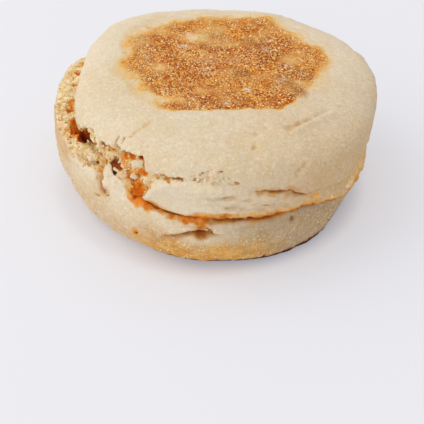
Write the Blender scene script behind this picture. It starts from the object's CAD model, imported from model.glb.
import math

import bpy
import numpy as np
import openvdb as vdb
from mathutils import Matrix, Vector


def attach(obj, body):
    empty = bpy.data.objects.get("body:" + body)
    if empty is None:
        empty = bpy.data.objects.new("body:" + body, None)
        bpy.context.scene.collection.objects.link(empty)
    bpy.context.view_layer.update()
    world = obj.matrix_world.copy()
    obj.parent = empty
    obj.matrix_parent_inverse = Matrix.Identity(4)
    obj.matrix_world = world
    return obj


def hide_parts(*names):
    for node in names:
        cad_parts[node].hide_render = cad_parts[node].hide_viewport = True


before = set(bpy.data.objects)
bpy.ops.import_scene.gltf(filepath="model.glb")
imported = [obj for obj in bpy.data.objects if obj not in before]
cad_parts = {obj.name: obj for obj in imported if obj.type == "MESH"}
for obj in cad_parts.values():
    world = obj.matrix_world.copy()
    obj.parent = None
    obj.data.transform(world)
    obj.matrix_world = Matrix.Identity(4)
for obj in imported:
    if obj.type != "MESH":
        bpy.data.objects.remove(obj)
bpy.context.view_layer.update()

# An english muffin, split by hand and toasted, its two halves stacked again. The bread is modelled in a
# signed distance field, in millimetres in the stack's own frame, and moved to the part's frame at the end.

MM = 0.001
OFFSET = np.array([-2.0117, -0.3764, 0.0])        # the stack's frame in the part's frame
VOX = 0.3
ADAPT = 0.05
LO = np.array([-48.9, -46.8, -1.5])
HI = np.array([48.9, 46.8, 40.5])
AX = [np.arange(LO[k], HI[k] + VOX / 2, VOX).astype(np.float32) for k in range(3)]
X, Y, Z = AX[0][:, None, None], AX[1][None, :, None], AX[2][None, None, :]
f32 = np.float32

# ------------------------------------------------------------------ the outlines, as in the CAD
HEEL = {
    "base": (37.1, [(1, 3.05, -20), (2, 0.3, -55), (3, 0.6, -34)]),
    "belly": (44.3, [(1, 1.35, 123), (2, 0.75, -67), (3, 0.76, 32), (4, 0.3, -11)]),
    "rim_inset": (1.3, [(1, 0.98, 14), (2, 0.46, 69)]),
    "belly_height": 0.70,
}
CROWN = {
    "belly": (44.1, [(1, 3.42, 11), (3, 0.75, 6), (4, 0.5, 39), (5, 0.33, -14), (6, 0.6, 19)]),
    "griddled": (28.7, [(1, 7.87, 77), (2, 0.6, 31), (3, 1.0, 9), (4, 1.25, -41)]),
    "lip_inset": (1.66, [(1, 0.45, 124)]),
    "lip": (0.1, [(1, 3.93, 159), (2, 1.23, -31)]),
    "belly_at": (12.0, [(1, 1.6, 90), (2, 1.0, 0)]),
    "height": 18.8,
    "shoulder": 0.88,
}
STACK = {"x": 0.9, "y": 0.5, "z": 18.6, "lean_back": -1.9, "lean_right": 2.2}
SPLIT = {"mid": 17.8, "fall": 5.67, "back": 0.31, "reach": 44.0, "saddle": 1.15, "twist": -1.03}
SWELLS = [(21, 35, 0.45, 0.4), (15, 110, 0.3, 1.9), (11, 70, 0.2, 3.1)]
REST_GAP, OPEN_GAP = 0.35, 0.6


def lobed(shape, a):
    mean, lobes = shape
    return mean + sum(size * np.cos(n * (a - math.radians(d))) for n, size, d in lobes)


def smooth(e0, e1, v):
    t = np.clip((v - e0) / (e1 - e0), 0, 1)
    return t * t * (3 - 2 * t)


def bell(v, width):
    return np.exp(-((v / width) ** 2))


def split_height(x, y):
    u, v = x / SPLIT["reach"], y / SPLIT["reach"]
    z = (SPLIT["mid"] - SPLIT["fall"] * u + SPLIT["back"] * v
         + SPLIT["saddle"] * (u * u - v * v) + SPLIT["twist"] * 2 * u * v)
    for length, d, high, phase in SWELLS:
        s = x * math.cos(math.radians(d)) + y * math.sin(math.radians(d))
        z = z + high * np.sin(2 * math.pi * s / length + phase)
    return z


def split_gap(x, y):
    return REST_GAP + OPEN_GAP * (0.5 + 0.25 * np.sin(x / 7.3 + 1) + 0.25 * np.cos(y / 8.1))


def crown_angle(x, y):
    return np.degrees(np.arctan2(y - STACK["y"], x - STACK["x"]))


def heel_angle(x, y):
    return np.degrees(np.arctan2(y, x))


# ------------------------------------------------------------------ fields
def noise(axes, cell, seed):
    """Smooth random field of about unit spread, with bumps about two cells wide."""
    cells = (cell,) * 3 if np.isscalar(cell) else cell
    rng = np.random.default_rng(seed)
    taps = []
    for k in range(3):
        start = LO[k] - 1.7 * cells[k] * ((seed * (k + 3)) % 7) / 7 - cells[k]
        t = (np.asarray(axes[k], float) - start) / cells[k]
        i = np.floor(t).astype(int)
        f = (t - i).astype(f32)
        taps.append((i, ((1 - f) ** 3 / 6, (3 * f ** 3 - 6 * f ** 2 + 4) / 6, (-3 * f ** 3 + 3 * f ** 2 + 3 * f + 1) / 6, f ** 3 / 6)))
    n = rng.standard_normal([int(t[0].max()) + 4 for t in taps]).astype(f32) * f32(3.0)
    for k in (2, 1, 0):
        i, w = taps[k]
        shape = [1, 1, 1]
        shape[k] = -1
        out = np.take(n, i, k) * w[0].reshape(shape)
        for j in (1, 2, 3):
            out += np.take(n, i + j, k) * w[j].reshape(shape)
        n = out
    return n


def smax(a, b, k):
    """The higher of two fields, rounded over a width k."""
    h = np.maximum(k - np.abs(a - b), 0) / k
    return np.maximum(a, b) + h * h * (k * 0.25)


def smin(a, b, k):
    h = np.maximum(k - np.abs(a - b), 0) / k
    return np.minimum(a, b) - h * h * (k * 0.25)


def block(lo, hi):
    """The slices of the grid that a box covers, and its coordinates."""
    s = []
    for k in range(3):
        i0 = max(0, int((lo[k] - LO[k]) / VOX))
        i1 = min(len(AX[k]), int((hi[k] - LO[k]) / VOX) + 2)
        s.append(slice(i0, max(i0 + 1, i1)))
    return tuple(s), (X[s[0]], Y[:, s[1]], Z[:, :, s[2]])


def to_segment(p, a, b, drop=None):
    """Distance from points to a segment and how far along it, leaving out the direction drop."""
    a, b = np.asarray(a, float), np.asarray(b, float)
    d = b - a
    if drop is not None:
        drop = np.asarray(drop, float) / np.linalg.norm(drop)
        d = d - drop * (d @ drop)
    v = [p[k] - f32(a[k]) for k in range(3)]
    if drop is not None:
        along = sum(v[k] * f32(drop[k]) for k in range(3))
        v = [v[k] - along * f32(drop[k]) for k in range(3)]
    t = np.clip(sum(v[k] * f32(d[k]) for k in range(3)) / f32(max(d @ d, 1e-9)), 0, 1)
    return np.sqrt(sum((v[k] - t * f32(d[k])) ** 2 for k in range(3))), t, (along if drop is not None else None)


def facing(f, at):
    """The direction out of the bread at a point near its surface."""
    d = np.eye(3) * 1.2
    at = np.asarray(at, float)
    g = sample(f, at + d) - sample(f, at - d)
    return g / max(np.linalg.norm(g), 1e-9)


def groove(f, line, depth, width, taper=0.25):
    """Presses a soft crease along a line on the surface; its ends fade out."""
    line = np.asarray(line, float)
    (s, p) = block(line.min(0) - 3 * width - 2, line.max(0) + 3 * width + 2)
    n = len(line) - 1
    press = np.zeros(f[s].shape, f32)
    for i in range(n):
        d, t, along = to_segment(p, line[i], line[i + 1], facing(f, (line[i] + line[i + 1]) / 2))
        u = (i + t) / n
        ends = smooth(0, taper, u) * smooth(0, taper, 1 - u) if taper else 1
        np.maximum(press, depth * ends * bell(d, width) * smooth(3.2, 2.0, np.abs(along)), out=press) if depth > 0 else \
            np.minimum(press, depth * ends * bell(d, width) * smooth(3.2, 2.0, np.abs(along)), out=press)
    f[s] += press


def crack(f, line, deep, wide, rough=0.0, seed=0):
    """Cuts a crack that is wide at the skin and closes at its depth."""
    line = np.asarray(line, float)
    pad = deep + wide + 1
    (s, p) = block(line.min(0) - pad, line.max(0) + pad)
    jag = noise([p[0].ravel(), p[1].ravel(), p[2].ravel()], 0.7, seed) * rough if rough else 0
    n = len(line) - 1
    best = np.full(f[s].shape, 9, f32)
    for i in range(n):
        mid = (line[i] + line[i + 1]) / 2
        out = facing(f, mid)
        level = float(sample(f, mid[None])[0])
        d, t, along = to_segment(p, line[i], line[i + 1], -out)
        along = along - level
        u = (i + t) / n
        ends = smooth(-0.05, 0.2, u) * smooth(-0.05, 0.2, 1 - u)
        c = np.maximum(d + jag - wide * ends * np.clip(1 - along / deep, -1, 1.2), -1.0 - along)
        np.minimum(best, c, out=best)
    f[s] = np.maximum(f[s], -best)


def curve(points, steps=4):
    """A smooth line through the points."""
    q = np.asarray(points, float)
    q = np.concatenate([2 * q[:1] - q[1:2], q, 2 * q[-1:] - q[-2:-1]])
    out = []
    for i in range(1, len(q) - 2):
        for t in np.arange(steps) / steps:
            out.append(0.5 * (2 * q[i] + (q[i + 1] - q[i - 1]) * t + (2 * q[i - 1] - 5 * q[i] + 4 * q[i + 1] - q[i + 2]) * t ** 2
                              + (3 * q[i] - q[i - 1] - 3 * q[i + 1] + q[i + 2]) * t ** 3))
    out.append(q[-2])
    return np.array(out)


def egg(at, size, p):
    """About the distance to an ellipsoid, for points p."""
    q = [(p[k] - f32(at[k])) / f32(size[k]) for k in range(3)]
    r = np.sqrt(q[0] ** 2 + q[1] ** 2 + q[2] ** 2)
    return (r - 1) * f32(min(size))


def carve(f, at, size, k=0.3, rough=0.0, seed=0):
    at, size = np.asarray(at, float), np.asarray(size, float)
    (s, p) = block(at - size * 1.3 - 1, at + size * 1.3 + 1)
    e = egg(at, size, p)
    if rough:
        e = e + noise([p[0].ravel(), p[1].ravel(), p[2].ravel()], 0.8, seed) * f32(rough)
    f[s] = smax(f[s], -e, f32(k))


def add(f, at, size, k=0.5, rough=0.0, seed=0):
    at, size = np.asarray(at, float), np.asarray(size, float)
    (s, p) = block(at - size * 1.3 - 1, at + size * 1.3 + 1)
    e = egg(at, size, p)
    if rough:
        e = e + noise([p[0].ravel(), p[1].ravel(), p[2].ravel()], 0.7, seed) * f32(rough)
    f[s] = smin(f[s], e, f32(k))


def chart(outline, s, z):
    """Signed distance, negative inside, to an outline of (angle, height) points, in arc length and height."""
    q = np.array([[math.radians(a) * 42.0, h] for a, h in outline])
    best = np.full(s.shape, 1e9, f32)
    inside = np.zeros(s.shape, bool)
    n = len(q)
    for i in range(n):
        (ax, ay), (bx, by) = q[i], q[(i + 1) % n]
        dx, dy = bx - ax, by - ay
        t = np.clip(((s - ax) * dx + (z - ay) * dy) / (dx * dx + dy * dy + 1e-12), 0, 1)
        np.minimum(best, (s - ax - t * dx) ** 2 + (z - ay - t * dy) ** 2, out=best)
        cross = ((ay > z) != (by > z)) & (s < dx * (z - ay) / (dy if dy else 1e-12) + ax)
        inside ^= cross
    d = np.sqrt(best)
    return np.where(inside, -d, d).astype(f32)


def skin_field(rings):
    """The distance to a closed skin given as rings of points, inside negative, within some voxels of it."""
    n = len(rings[0])
    pts = [rings[0].mean(0)[None]] + rings + [rings[-1].mean(0)[None]]
    pts = np.concatenate(pts).astype(f32)
    i = np.arange(n)
    j = (i + 1) % n
    last = len(pts) - 1
    quads = []
    for r in range(len(rings) - 1):
        a = 1 + r * n
        quads.append(np.stack([a + i, a + j, a + n + j, a + n + i], 1))
    tris = [np.stack([0 * i, 1 + j, 1 + i], 1), np.stack([last - n + i, last - n + j, 0 * i + last], 1)]
    t = vdb.createLinearTransform(voxelSize=VOX)
    g = vdb.FloatGrid.createLevelSetFromPolygons(
        pts - LO.astype(f32), triangles=np.concatenate(tris).astype(np.uint32), quads=np.concatenate(quads).astype(np.uint32),
        transform=t, halfWidth=16)
    out = np.zeros([len(a) for a in AX], f32)
    g.copyToArray(out)
    return out


TURN = np.linspace(0, 2 * math.pi, 240, endpoint=False)


def heel_rings():
    a = TURN
    c, s = np.cos(a), np.sin(a)
    base, belly = lobed(HEEL["base"], a), lobed(HEEL["belly"], a)
    rim = belly - np.abs(lobed(HEEL["rim_inset"], a))
    rim_h = split_height(rim * c, rim * s) - 0.4
    bh = HEEL["belly_height"]
    rings = [np.stack([c * (base - 5), s * (base - 5), 0 * a - 5], 1)]
    for t in np.linspace(0.0, 1, 14):
        r = base + (belly - base) * math.sin(t * math.pi / 2) ** 0.8
        rings.append(np.stack([c * r, s * r, t * bh * rim_h], 1))
    for t in np.linspace(0.1, 2.3, 16):
        r = belly + (rim - belly) * t * t
        rings.append(np.stack([c * r, s * r, rim_h * (bh + (1 - bh) * t)], 1))
    return rings


def lean_matrix():
    a, b = math.radians(STACK["lean_right"]), math.radians(STACK["lean_back"])
    ry = np.array([[math.cos(a), 0, math.sin(a)], [0, 1, 0], [-math.sin(a), 0, math.cos(a)]])
    rx = np.array([[1, 0, 0], [0, math.cos(b), -math.sin(b)], [0, math.sin(b), math.cos(b)]])
    return ry @ rx


LEAN = lean_matrix()
CORNER = np.array([STACK["x"], STACK["y"], STACK["z"]])


def crown_rings():
    a = TURN
    c, s = np.cos(a), np.sin(a)
    belly, grid_r = lobed(CROWN["belly"], a), lobed(CROWN["griddled"], a)
    low_r = belly - lobed(CROWN["lip_inset"], a)
    at = lobed(CROWN["belly_at"], a)
    low = lobed(CROWN["lip"], a)
    rings = []

    def ring(r, z):
        rings.append(np.stack([c * r, s * r, z + 0 * a], 1) @ LEAN.T + CORNER)
    for t in np.linspace(-1.1, 1, 20):
        ring(low_r + (belly - low_r) * (1 - (1 - t) ** 2), low + (at - low) * t)
    for deg in np.linspace(5, 90, 18):
        out, up = math.cos(math.radians(deg)) ** CROWN["shoulder"], math.sin(math.radians(deg)) ** CROWN["shoulder"]
        ring(grid_r if deg == 90 else grid_r + (belly - grid_r) * out, at + (CROWN["height"] - at) * up)
    return rings


# ------------------------------------------------------------------ the features of this muffin
# Angles in degrees round each half's middle, heights and places in mm.
BITE = [(-172, 14), (-170, 22.5), (-166.5, 24.5), (-162, 28.5), (-156, 31.2), (-150, 33.0), (-146, 34.0), (-143.7, 33.7),
        (-141.9, 32.9), (-140.3, 31.7), (-135.7, 32.9), (-132.9, 33.0), (-131.4, 34.1), (-129.9, 33.4), (-127.3, 33.4),
        (-124.4, 33.7), (-122.2, 33.4), (-119.5, 33.7), (-117.6, 34.2), (-116.1, 33.5), (-115.6, 31.8), (-115.3, 29.9),
        (-113.5, 30.3), (-110.4, 30.7), (-108.0, 31.0), (-105.0, 31.2), (-102.1, 30.9), (-105.6, 30.2), (-109.0, 29.0),
        (-112.2, 26.7), (-114.1, 23.9), (-115.6, 22.4), (-117.0, 21.2), (-117.6, 20.4), (-117.6, 14)]
TEAR = [(-103.0, 30.9), (-99.6, 31.2), (-98.6, 31.7), (-96.0, 31.8), (-94.2, 32.6), (-91.6, 32.9), (-89.0, 33.1),
        (-86.0, 32.8), (-84.1, 31.9), (-82.3, 30.9), (-80.2, 29.9), (-82.5, 29.7), (-84.0, 29.9), (-86.9, 29.9),
        (-89.4, 30.4), (-92.2, 30.3), (-95.5, 30.6), (-97.6, 30.5), (-99.8, 30.5)]
CREASE = [(12.1, -41.1, 26.9), (14.0, -40.9, 26.4), (15.7, -40.3, 26.3), (17.3, -39.9, 25.6), (19.3, -38.7, 25.1), (21.0, -38.2, 24.7),
          (22.4, -37.2, 24.7), (23.8, -36.9, 23.4), (25.5, -36.5, 22.5), (27.7, -36.1, 21.8), (28.9, -35.2, 21.5), (31.8, -33.0, 20.9),
          (34.2, -30.2, 20.5), (37.0, -28.0, 20.2), (39.3, -24.8, 20.1), (41.0, -21.4, 20.6)]


RIM = [(-57, 12), (-57, 17.8), (-54.5, 19.6), (-51, 20.4), (-48.4, 20.0), (-47.4, 18.2), (-46, 17.2), (-42, 16.9), (-37, 16.9), (-33.6, 17.4), (-31.8, 19.6),
       (-29.2, 20.4), (-27.6, 21.6), (-24, 22.2), (-17, 21.6), (-6, 19.8), (6, 18.4), (16, 17.0), (24, 15.6), (24, 10), (-40, 10)]


CRACKS = [[(-15.6, -25.0, 38.3), (-16.9, -26.0, 38.3), (-18.0, -27.0, 37.9), (-19.1, -27.7, 37.2), (-20.9, -29.1, 36.6), (-22.0, -29.5, 36.1)],
          [(-24.2, -27.4, 35.4), (-24.7, -28.1, 34.9), (-25.4, -28.9, 33.9)],
          [(-22.8, -28.6, 35.6), (-23.2, -29.5, 35.0), (-23.6, -30.4, 34.2)]]


def heel_top(x, y):
    """The lower half's torn face, with the tongue of the crown's wall that stayed on it."""
    a, r = heel_angle(x, y), np.hypot(x, y)
    tongue = 4.4 * smooth(-137.6, -134.6, a) * (1 - smooth(-127.5, -119.0, a)) * smooth(34.5, 39.5, r)
    hill = 1.0 * smooth(-152, -140, a) * (1 - smooth(-121, -113, a)) * smooth(31, 36, r)
    return split_height(x, y) + tongue + hill


def flap_lift(x, y):
    """How far the upper half's edge is raised in front."""
    lift = np.interp(crown_angle(x, y), [-121, -115, -112, -108.5, -105, -102, -99, -96, -93, -90, -87, -84, -81, -78.6, -75.5, -72.5, -69.4, -66.3, -60, -56, -52, -46],
                     [0, 0.9, 0.6, 0.4, 0.95, 1.2, 1.5, 2.1, 2.6, 2.1, 1.3, 1.0, 0.9, 0.8, 1.1, 1.3, 1.6, 1.9, 1.8, 1.2, 0.6, 0])
    return lift * smooth(32, 42, np.hypot(x - STACK["x"], y - STACK["y"]))


def noise_all(cell, seed):
    return noise(AX, cell, seed)


def make_fields():
    heel_skin = skin_field(heel_rings())
    crown_skin = skin_field(crown_rings())

    # the skin isn't even: low lumps and fine wrinkles
    lump = noise_all(6.0, 11) * f32(0.11) + noise_all(2.6, 12) * f32(0.06)
    fine = noise_all(1.1, 13) * f32(0.045) + noise_all(0.6, 14) * f32(0.045)
    heel_skin += (lump + fine * smooth(17, 9, Z) + fine) * smooth(-0.6, 2.6, Z)
    crown_skin += noise_all(7.0, 21) * f32(0.12) + noise_all(3.0, 22) * f32(0.07) + fine
    del lump, fine
    # the lip stands out at the lower right, the back left of the heel is fuller, and its base is a little uneven
    turn_c, turn_h = crown_angle(X, Y)[:, :, :], heel_angle(X, Y)
    crown_skin -= (1.3 * smooth(-47, -34, turn_c) * (1 - smooth(-22, -9, turn_c)) * bell(Z - 14.5, 3.0)).astype(f32)
    crown_skin += (0.45 * bell(X - 3.4, 4.5) * smooth(15, 30, Y) - 0.45 * bell(X - 17.0, 4.5) * smooth(15, 30, Y)).astype(f32) * smooth(24, 32, Z)
    back = np.where(turn_h < 0, turn_h + 360, turn_h)
    heel_skin -= (np.interp(back, [112, 124, 134, 142, 148, 153, 158, 164, 172], [0, 1.2, 2.2, 2.6, 2.5, 1.7, 0.7, 0.2, 0]) * smooth(9, 20, Z)).astype(f32)
    heel_skin -= (np.interp(turn_h, [-145, -137, -121, -113, -105, -99, -92, -88, -83, -76, -67, -60, -56, -52, -47, -42, -36, -30, -24, -12],
                            [0, -0.5, -0.7, -0.3, 0.0, 0.2, 0.3, 0.2, 0.1, 0.3, 0.45, 0.45, 0.6, 0.2, 0.6, 0.2, 0.0, -0.6, -0.6, 0]) * (1 - smooth(1.0, 5.0, Z))).astype(f32)
    del turn_c, turn_h, back

    # ---------------- heel: creases in the wall
    fold = curve([(-12.6, -41.7, 12.2), (-10.9, -42.2, 12.6), (-8.9, -42.8, 13.2), (-7.3, -42.8, 13.6), (-5.4, -42.9, 14.1), (-4.0, -42.9, 14.4), (-2.6, -42.8, 14.4),
                  (-0.9, -42.9, 14.1), (0.8, -43.2, 13.8), (2.6, -43.6, 13.8), (3.6, -43.9, 14.0)])
    (s, p) = block((-17, -48, 9), (11, -38, 19))
    line = np.interp(p[0].ravel(), fold[:, 0], fold[:, 2]).astype(f32)[:, None, None]
    ends = smooth(-15, -9, p[0]) * (1 - smooth(3.5, 9, p[0]))
    above = p[2] - line
    heel_skin[s] -= (ends * 0.75 * smooth(-0.15, 0.5, above) * (1 - smooth(1.0, 3.2, above))).astype(f32)
    groove(heel_skin, fold - (0, 0, 0.35), 1.1, 0.95, 0.1)
    crack(heel_skin, fold - (0, 0, 0.1), 1.3, 0.4, 0.12, 15)
    groove(heel_skin, curve([(-3.0, -42.8, 14.4), (-1.3, -43.1, 14.3), (0.4, -43.4, 14.0), (2.0, -43.6, 13.8)]), 1.4, 0.75)
    groove(heel_skin, curve([(3.4, -43.7, 15.5), (6.2, -43.0, 14.4), (8.7, -42.2, 14.4), (11.2, -41.4, 14.8), (14.0, -40.8, 15.6)]), 0.75, 0.6)
    groove(heel_skin, curve([(0.6, -41.1, 16.2), (1.1, -42.2, 15.7), (0.8, -43.4, 15.5), (0.0, -43.2, 14.9), (-1.2, -42.8, 14.7)]), 0.8, 0.4, 0.1)
    groove(heel_skin, curve([(-10.8, -41.4, 15.0), (-7.0, -42.2, 15.8), (-3.0, -42.5, 16.2), (-1.0, -42.6, 16.3)]), 0.3, 0.5)
    crack(heel_skin, curve([(-29.9, -24.8, 24.5), (-29.6, -26.0, 22.6), (-29.4, -27.2, 20.6), (-28.8, -28.6, 18.9), (-28.1, -30.0, 18.1)]), 2.4, 1.25, 0.25, 17)
    crack(heel_skin, curve([(-32.8, -26.8, 15.5), (-30.8, -28.9, 16.2), (-29.0, -30.6, 17.2), (-27.8, -31.5, 18.2)]), 0.6, 0.25, 0.1, 16)
    for at, deep, wide in [((-19.9, -38.2, 10.1), 0.9, 0.4), ((23.3, -35.5, 13.0), 1.0, 0.6), ((27.5, -33.3, 8.5), 0.4, 0.5),
                           ((-35.0, 24.5, 11.0), 0.6, 0.5), ((12.0, 40.5, 9.0), 0.8, 0.6), ((39.0, 17.0, 8.0), 0.6, 0.5)]:
        groove(heel_skin, [at, np.array(at) + 0.2], deep, wide, 0)
    groove(heel_skin, [(29.2, -31.4, 14.8), (29.6, -33.0, 12.0), (29.3, -33.2, 9.8)], 0.25, 0.4)
    # creases on the sides and back that the photo hides
    groove(heel_skin, [(43.2, 4.0, 8.6), (42.9, 10.0, 9.1), (40.8, 16.5, 8.8)], 0.8, 0.7)
    groove(heel_skin, [(12.0, 42.6, 12.1), (2.0, 43.6, 12.9), (-8.0, 43.0, 13.0), (-15.0, 41.0, 14.6)], 0.9, 0.8)

    # ---------------- heel: the torn face
    flat = (X[:, :, 0], Y[:, :, 0])
    r_heel, a_heel = np.hypot(*flat), heel_angle(*flat)
    rough = (noise_all(2.2, 31) * f32(0.30) + noise_all(1.0, 32) * f32(0.22) + noise_all(0.55, 33) * f32(0.16))
    # under the flap the upper half's edge is raised, and the torn face of the lower half climbs to it
    toward, lift = crown_angle(*flat), flap_lift(*flat)
    r_crown = np.hypot(flat[0] - STACK["x"], flat[1] - STACK["y"])
    rim_r = lobed(HEEL["belly"], np.radians(a_heel)) - np.abs(lobed(HEEL["rim_inset"], np.radians(a_heel)))
    left = 1 - smooth(-93, -86, toward)
    climb = lift * (left * smooth(0.1, 1.9, rim_r - r_heel) + 0.6 * (1 - left))
    face = (heel_top(*flat) + climb)[:, :, None].astype(f32)
    open_heel = smooth(-168, -158, a_heel) * (1 - smooth(-120, -114, a_heel))
    (s, p) = block((-40, -40, 15), (-18, -22, 27))
    wall = heel_angle(p[0], p[1])
    wall = smooth(-140, -136, wall) * (1 - smooth(-124, -118, wall)) * smooth(16, 19, p[2])
    axes = [p[0].ravel(), p[1].ravel(), p[2].ravel()]
    heel_skin[s] += (wall * (noise(axes, 0.9, 34) * 0.14 + noise(axes, 1.8, 35) * 0.16)).astype(f32)
    torn = Z - face + rough * (0.25 + 0.75 * smooth(0.2, 2.4, -heel_skin))
    heel = smax(heel_skin, torn, (0.8 - 0.62 * open_heel - 0.3 * smooth(-120, -112, a_heel) * (1 - smooth(-92, -84, a_heel)))[:, :, None].astype(f32))
    # the griddled base is flat, with a few shallow dips
    under = -Z + f32(0.02) + np.maximum(noise_all(3.5, 41) * f32(0.16), 0)
    heel = smax(heel, under, f32(0.8))
    del under
    # the nick and the pits
    rng = np.random.default_rng(5)
    for at, size, k in [((-34.4, -7.4, 23.0), (3.0, 3.8, 3.2), 0.4), ((-35.8, -11.4, 23.4), (1.3, 1.9, 1.9), 0.3), ((-37.9, -3.2, 24.2), (1.5, 1.6, 1.5), 0.3),
                        ((-38.9, 20.9, 25.2), (1.0, 1.4, 1.3), 0.3), ((-39.7, 14.6, 25.2), (0.8, 1.2, 1.2), 0.3),
                        ((-40.4, 6.0, 25.3), (1.0, 1.2, 1.3), 0.3), ((-40.6, 2.6, 24.8), (0.8, 1.8, 1.3), 0.3),
                        ((-37.2, 26.4, 25.2), (0.9, 1.6, 1.2), 0.3)]:
        carve(heel, at, size, k, 0.15, 7)
    carve(heel, (-29.6, -25.8, 24.6), (1.4, 1.6, 2.6), 0.4, 0.15, 8)
    carve(heel, (-1.9, -44.1, 14.2), (2.2, 1.3, 1.1), 0.4, 0.2, 12)
    carve(heel, (-29.3, -27.6, 21.8), (0.95, 1.3, 2.2), 0.4, 0.15, 9)
    for i in range(3600):
        big = rng.random() < 0.05
        r = rng.uniform(0.9, 2.0) if big else rng.uniform(0.3, 0.65)
        a, q = rng.uniform(0, 2 * math.pi), 44.0 * math.sqrt(rng.random())
        x, y = q * math.cos(a), q * math.sin(a)
        ad = math.degrees(a)
        if q > 33 and r > 0.5:
            r = rng.uniform(0.3, 0.5)
        if q > 39.0 and (ad > 232 or ad < 100):
            continue
        if q > 34 and rng.random() < 0.45:
            continue
        high = 1.0 + 4.0 * float(smooth(34.5, 39.5, q)) if 223 < ad < 240 and q > 34 else 0.0
        zz = float(split_height(x, y)) + high + rng.normal(-0.1, 0.3) - 0.1 * r
        size = (r * rng.uniform(0.9, 1.5), r * rng.uniform(0.9, 1.5), r * rng.uniform(0.7, 1.2))
        carve(heel, (x, y, zz), size, 0.35 if q > 34 else 0.2)

    # ---------------- crown: folds in the skin
    shoulder = [(21.0, -26.6, 37.4), (23.3, -25.1, 37.0), (25.6, -23.0, 36.6), (27.9, -21.1, 36.3), (30.2, -19.0, 36.2), (32.8, -16.6, 36.2), (35.8, -13.2, 36.0)]
    groove(crown_skin, curve(shoulder), 0.75, 0.7, 0.2)
    groove(crown_skin, curve(np.array(shoulder) + (0.9, -1.7, -0.2)), -0.75, 1.3, 0.3)
    groove(crown_skin, curve([(9.7, -27.0, 37.0), (11.1, -28.1, 36.8), (13.0, -28.5, 36.6), (14.9, -28.1, 37.1)]), 0.5, 0.5)
    groove(crown_skin, curve([(10.6, -25.8, 37.3), (11.7, -26.4, 37.3), (13.9, -26.9, 37.3), (15.8, -26.6, 37.4), (17.5, -25.8, 37.4)]), 0.35, 0.5)
    groove(crown_skin, curve([(26.4, -35.2, 31.3), (25.2, -35.7, 30.6), (24.4, -36.4, 29.7), (23.7, -37.0, 28.4)]), 0.45, 0.38)
    groove(crown_skin, curve([(28.3, -34.0, 31.4), (27.2, -35.5, 30.4), (26.3, -36.4, 29.4), (25.6, -37.0, 28.2)]), -0.6, 0.9)
    groove(crown_skin, curve([(13.2, -31.7, 36.3), (12.7, -33.2, 35.6), (12.1, -34.8, 35.1)]), 0.55, 0.4)
    groove(crown_skin, curve([(5.0, -30.6, 36.6), (8.0, -31.2, 36.4), (11.0, -30.8, 36.6)]), 0.25, 0.5)
    # the other sides have the same slight folds
    groove(crown_skin, curve([(-34.0, 20.5, 33.5), (-28.5, 28.0, 33.6), (-22.0, 33.0, 33.6)]), 0.6, 1.4)
    groove(crown_skin, curve([(38.0, 22.0, 28.5), (31.0, 32.0, 29.2), (22.5, 38.0, 29.6)]), 0.8, 1.2)
    groove(crown_skin, curve([(4.0, 43.3, 27.0), (-8.0, 42.6, 27.6), (-14.0, 40.5, 29.0)]), 0.7, 0.9)

    # the flap stands proud of the tear above it
    (s, p) = block((-30, -48, 15), (30, -25, 36))
    a = crown_angle(p[0], p[1])
    zp = p[2]
    top = np.interp(a, [-118, -114, -112, -109, -105, -100, -88, -80, -75, -60, -45], [22, 24.5, 27.0, 29.0, 30.2, 30.5, 30.1, 29.0, 27.2, 24.0, 21.0]).astype(f32)
    ends = smooth(-119, -115, a) * (1 - smooth(-62, -46, a))
    crown_skin[s] -= (ends * (0.75 * smooth(top + 0.5, top - 1.3, zp) + 0.35 * bell(zp - (top - 1.8), 1.6))).astype(f32)
    # ends: low folds along the flap
    wob = noise([p[0].ravel(), p[1].ravel(), p[2].ravel()], (5.0, 5.0, 1.0), 25)
    crown_skin[s] += (ends * smooth(-90, -72, a) * smooth(top + 0.3, top - 2, zp) * 0.3 * wob).astype(f32)
    flake = noise([p[0].ravel(), p[1].ravel(), p[2].ravel()], (2.2, 2.2, 0.6), 28) + 0.7 * noise([p[0].ravel(), p[1].ravel(), p[2].ravel()], (0.9, 0.9, 0.5), 29)
    crown_skin[s] += (ends * smooth(-106, -88, a) * smooth(top + 0.2, top - 0.8, zp) * 0.27 * flake).astype(f32)
    # the crease to the right of the tear: the upper skin laps over the lower
    line = curve(CREASE)
    (s, p) = block((7, -48, 14), (46, -14, 32))
    a = crown_angle(p[0], p[1])
    h = (p[2] - np.interp(a, crown_angle(line[:, 0], line[:, 1]), line[:, 2])).astype(f32)
    ends = smooth(-77, -72, a) * (1 - smooth(-31, -26, a))
    crown_skin[s] += (ends * 0.5 * smooth(0.2, -0.2, h) * smooth(-3.4, -0.5, h)).astype(f32)
    crown_skin[s] -= (ends * 0.25 * smooth(-0.2, 0.2, h) * (1 - smooth(0.4, 2.2, h))).astype(f32)
    groove(crown_skin, line, 0.25, 0.4, 0.04)
    crack(crown_skin, line, 1.2, 0.3, 0.1, 26)

    # ---------------- crown: the underside
    gap = split_gap(flat[0] - STACK["x"], flat[1] - STACK["y"])
    a_crown = toward
    zone = smooth(-168, -160, a_crown) * (1 - smooth(-120, -114, a_crown))
    gap = gap * (1 - 0.85 * zone) - 0.5 * zone
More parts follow.
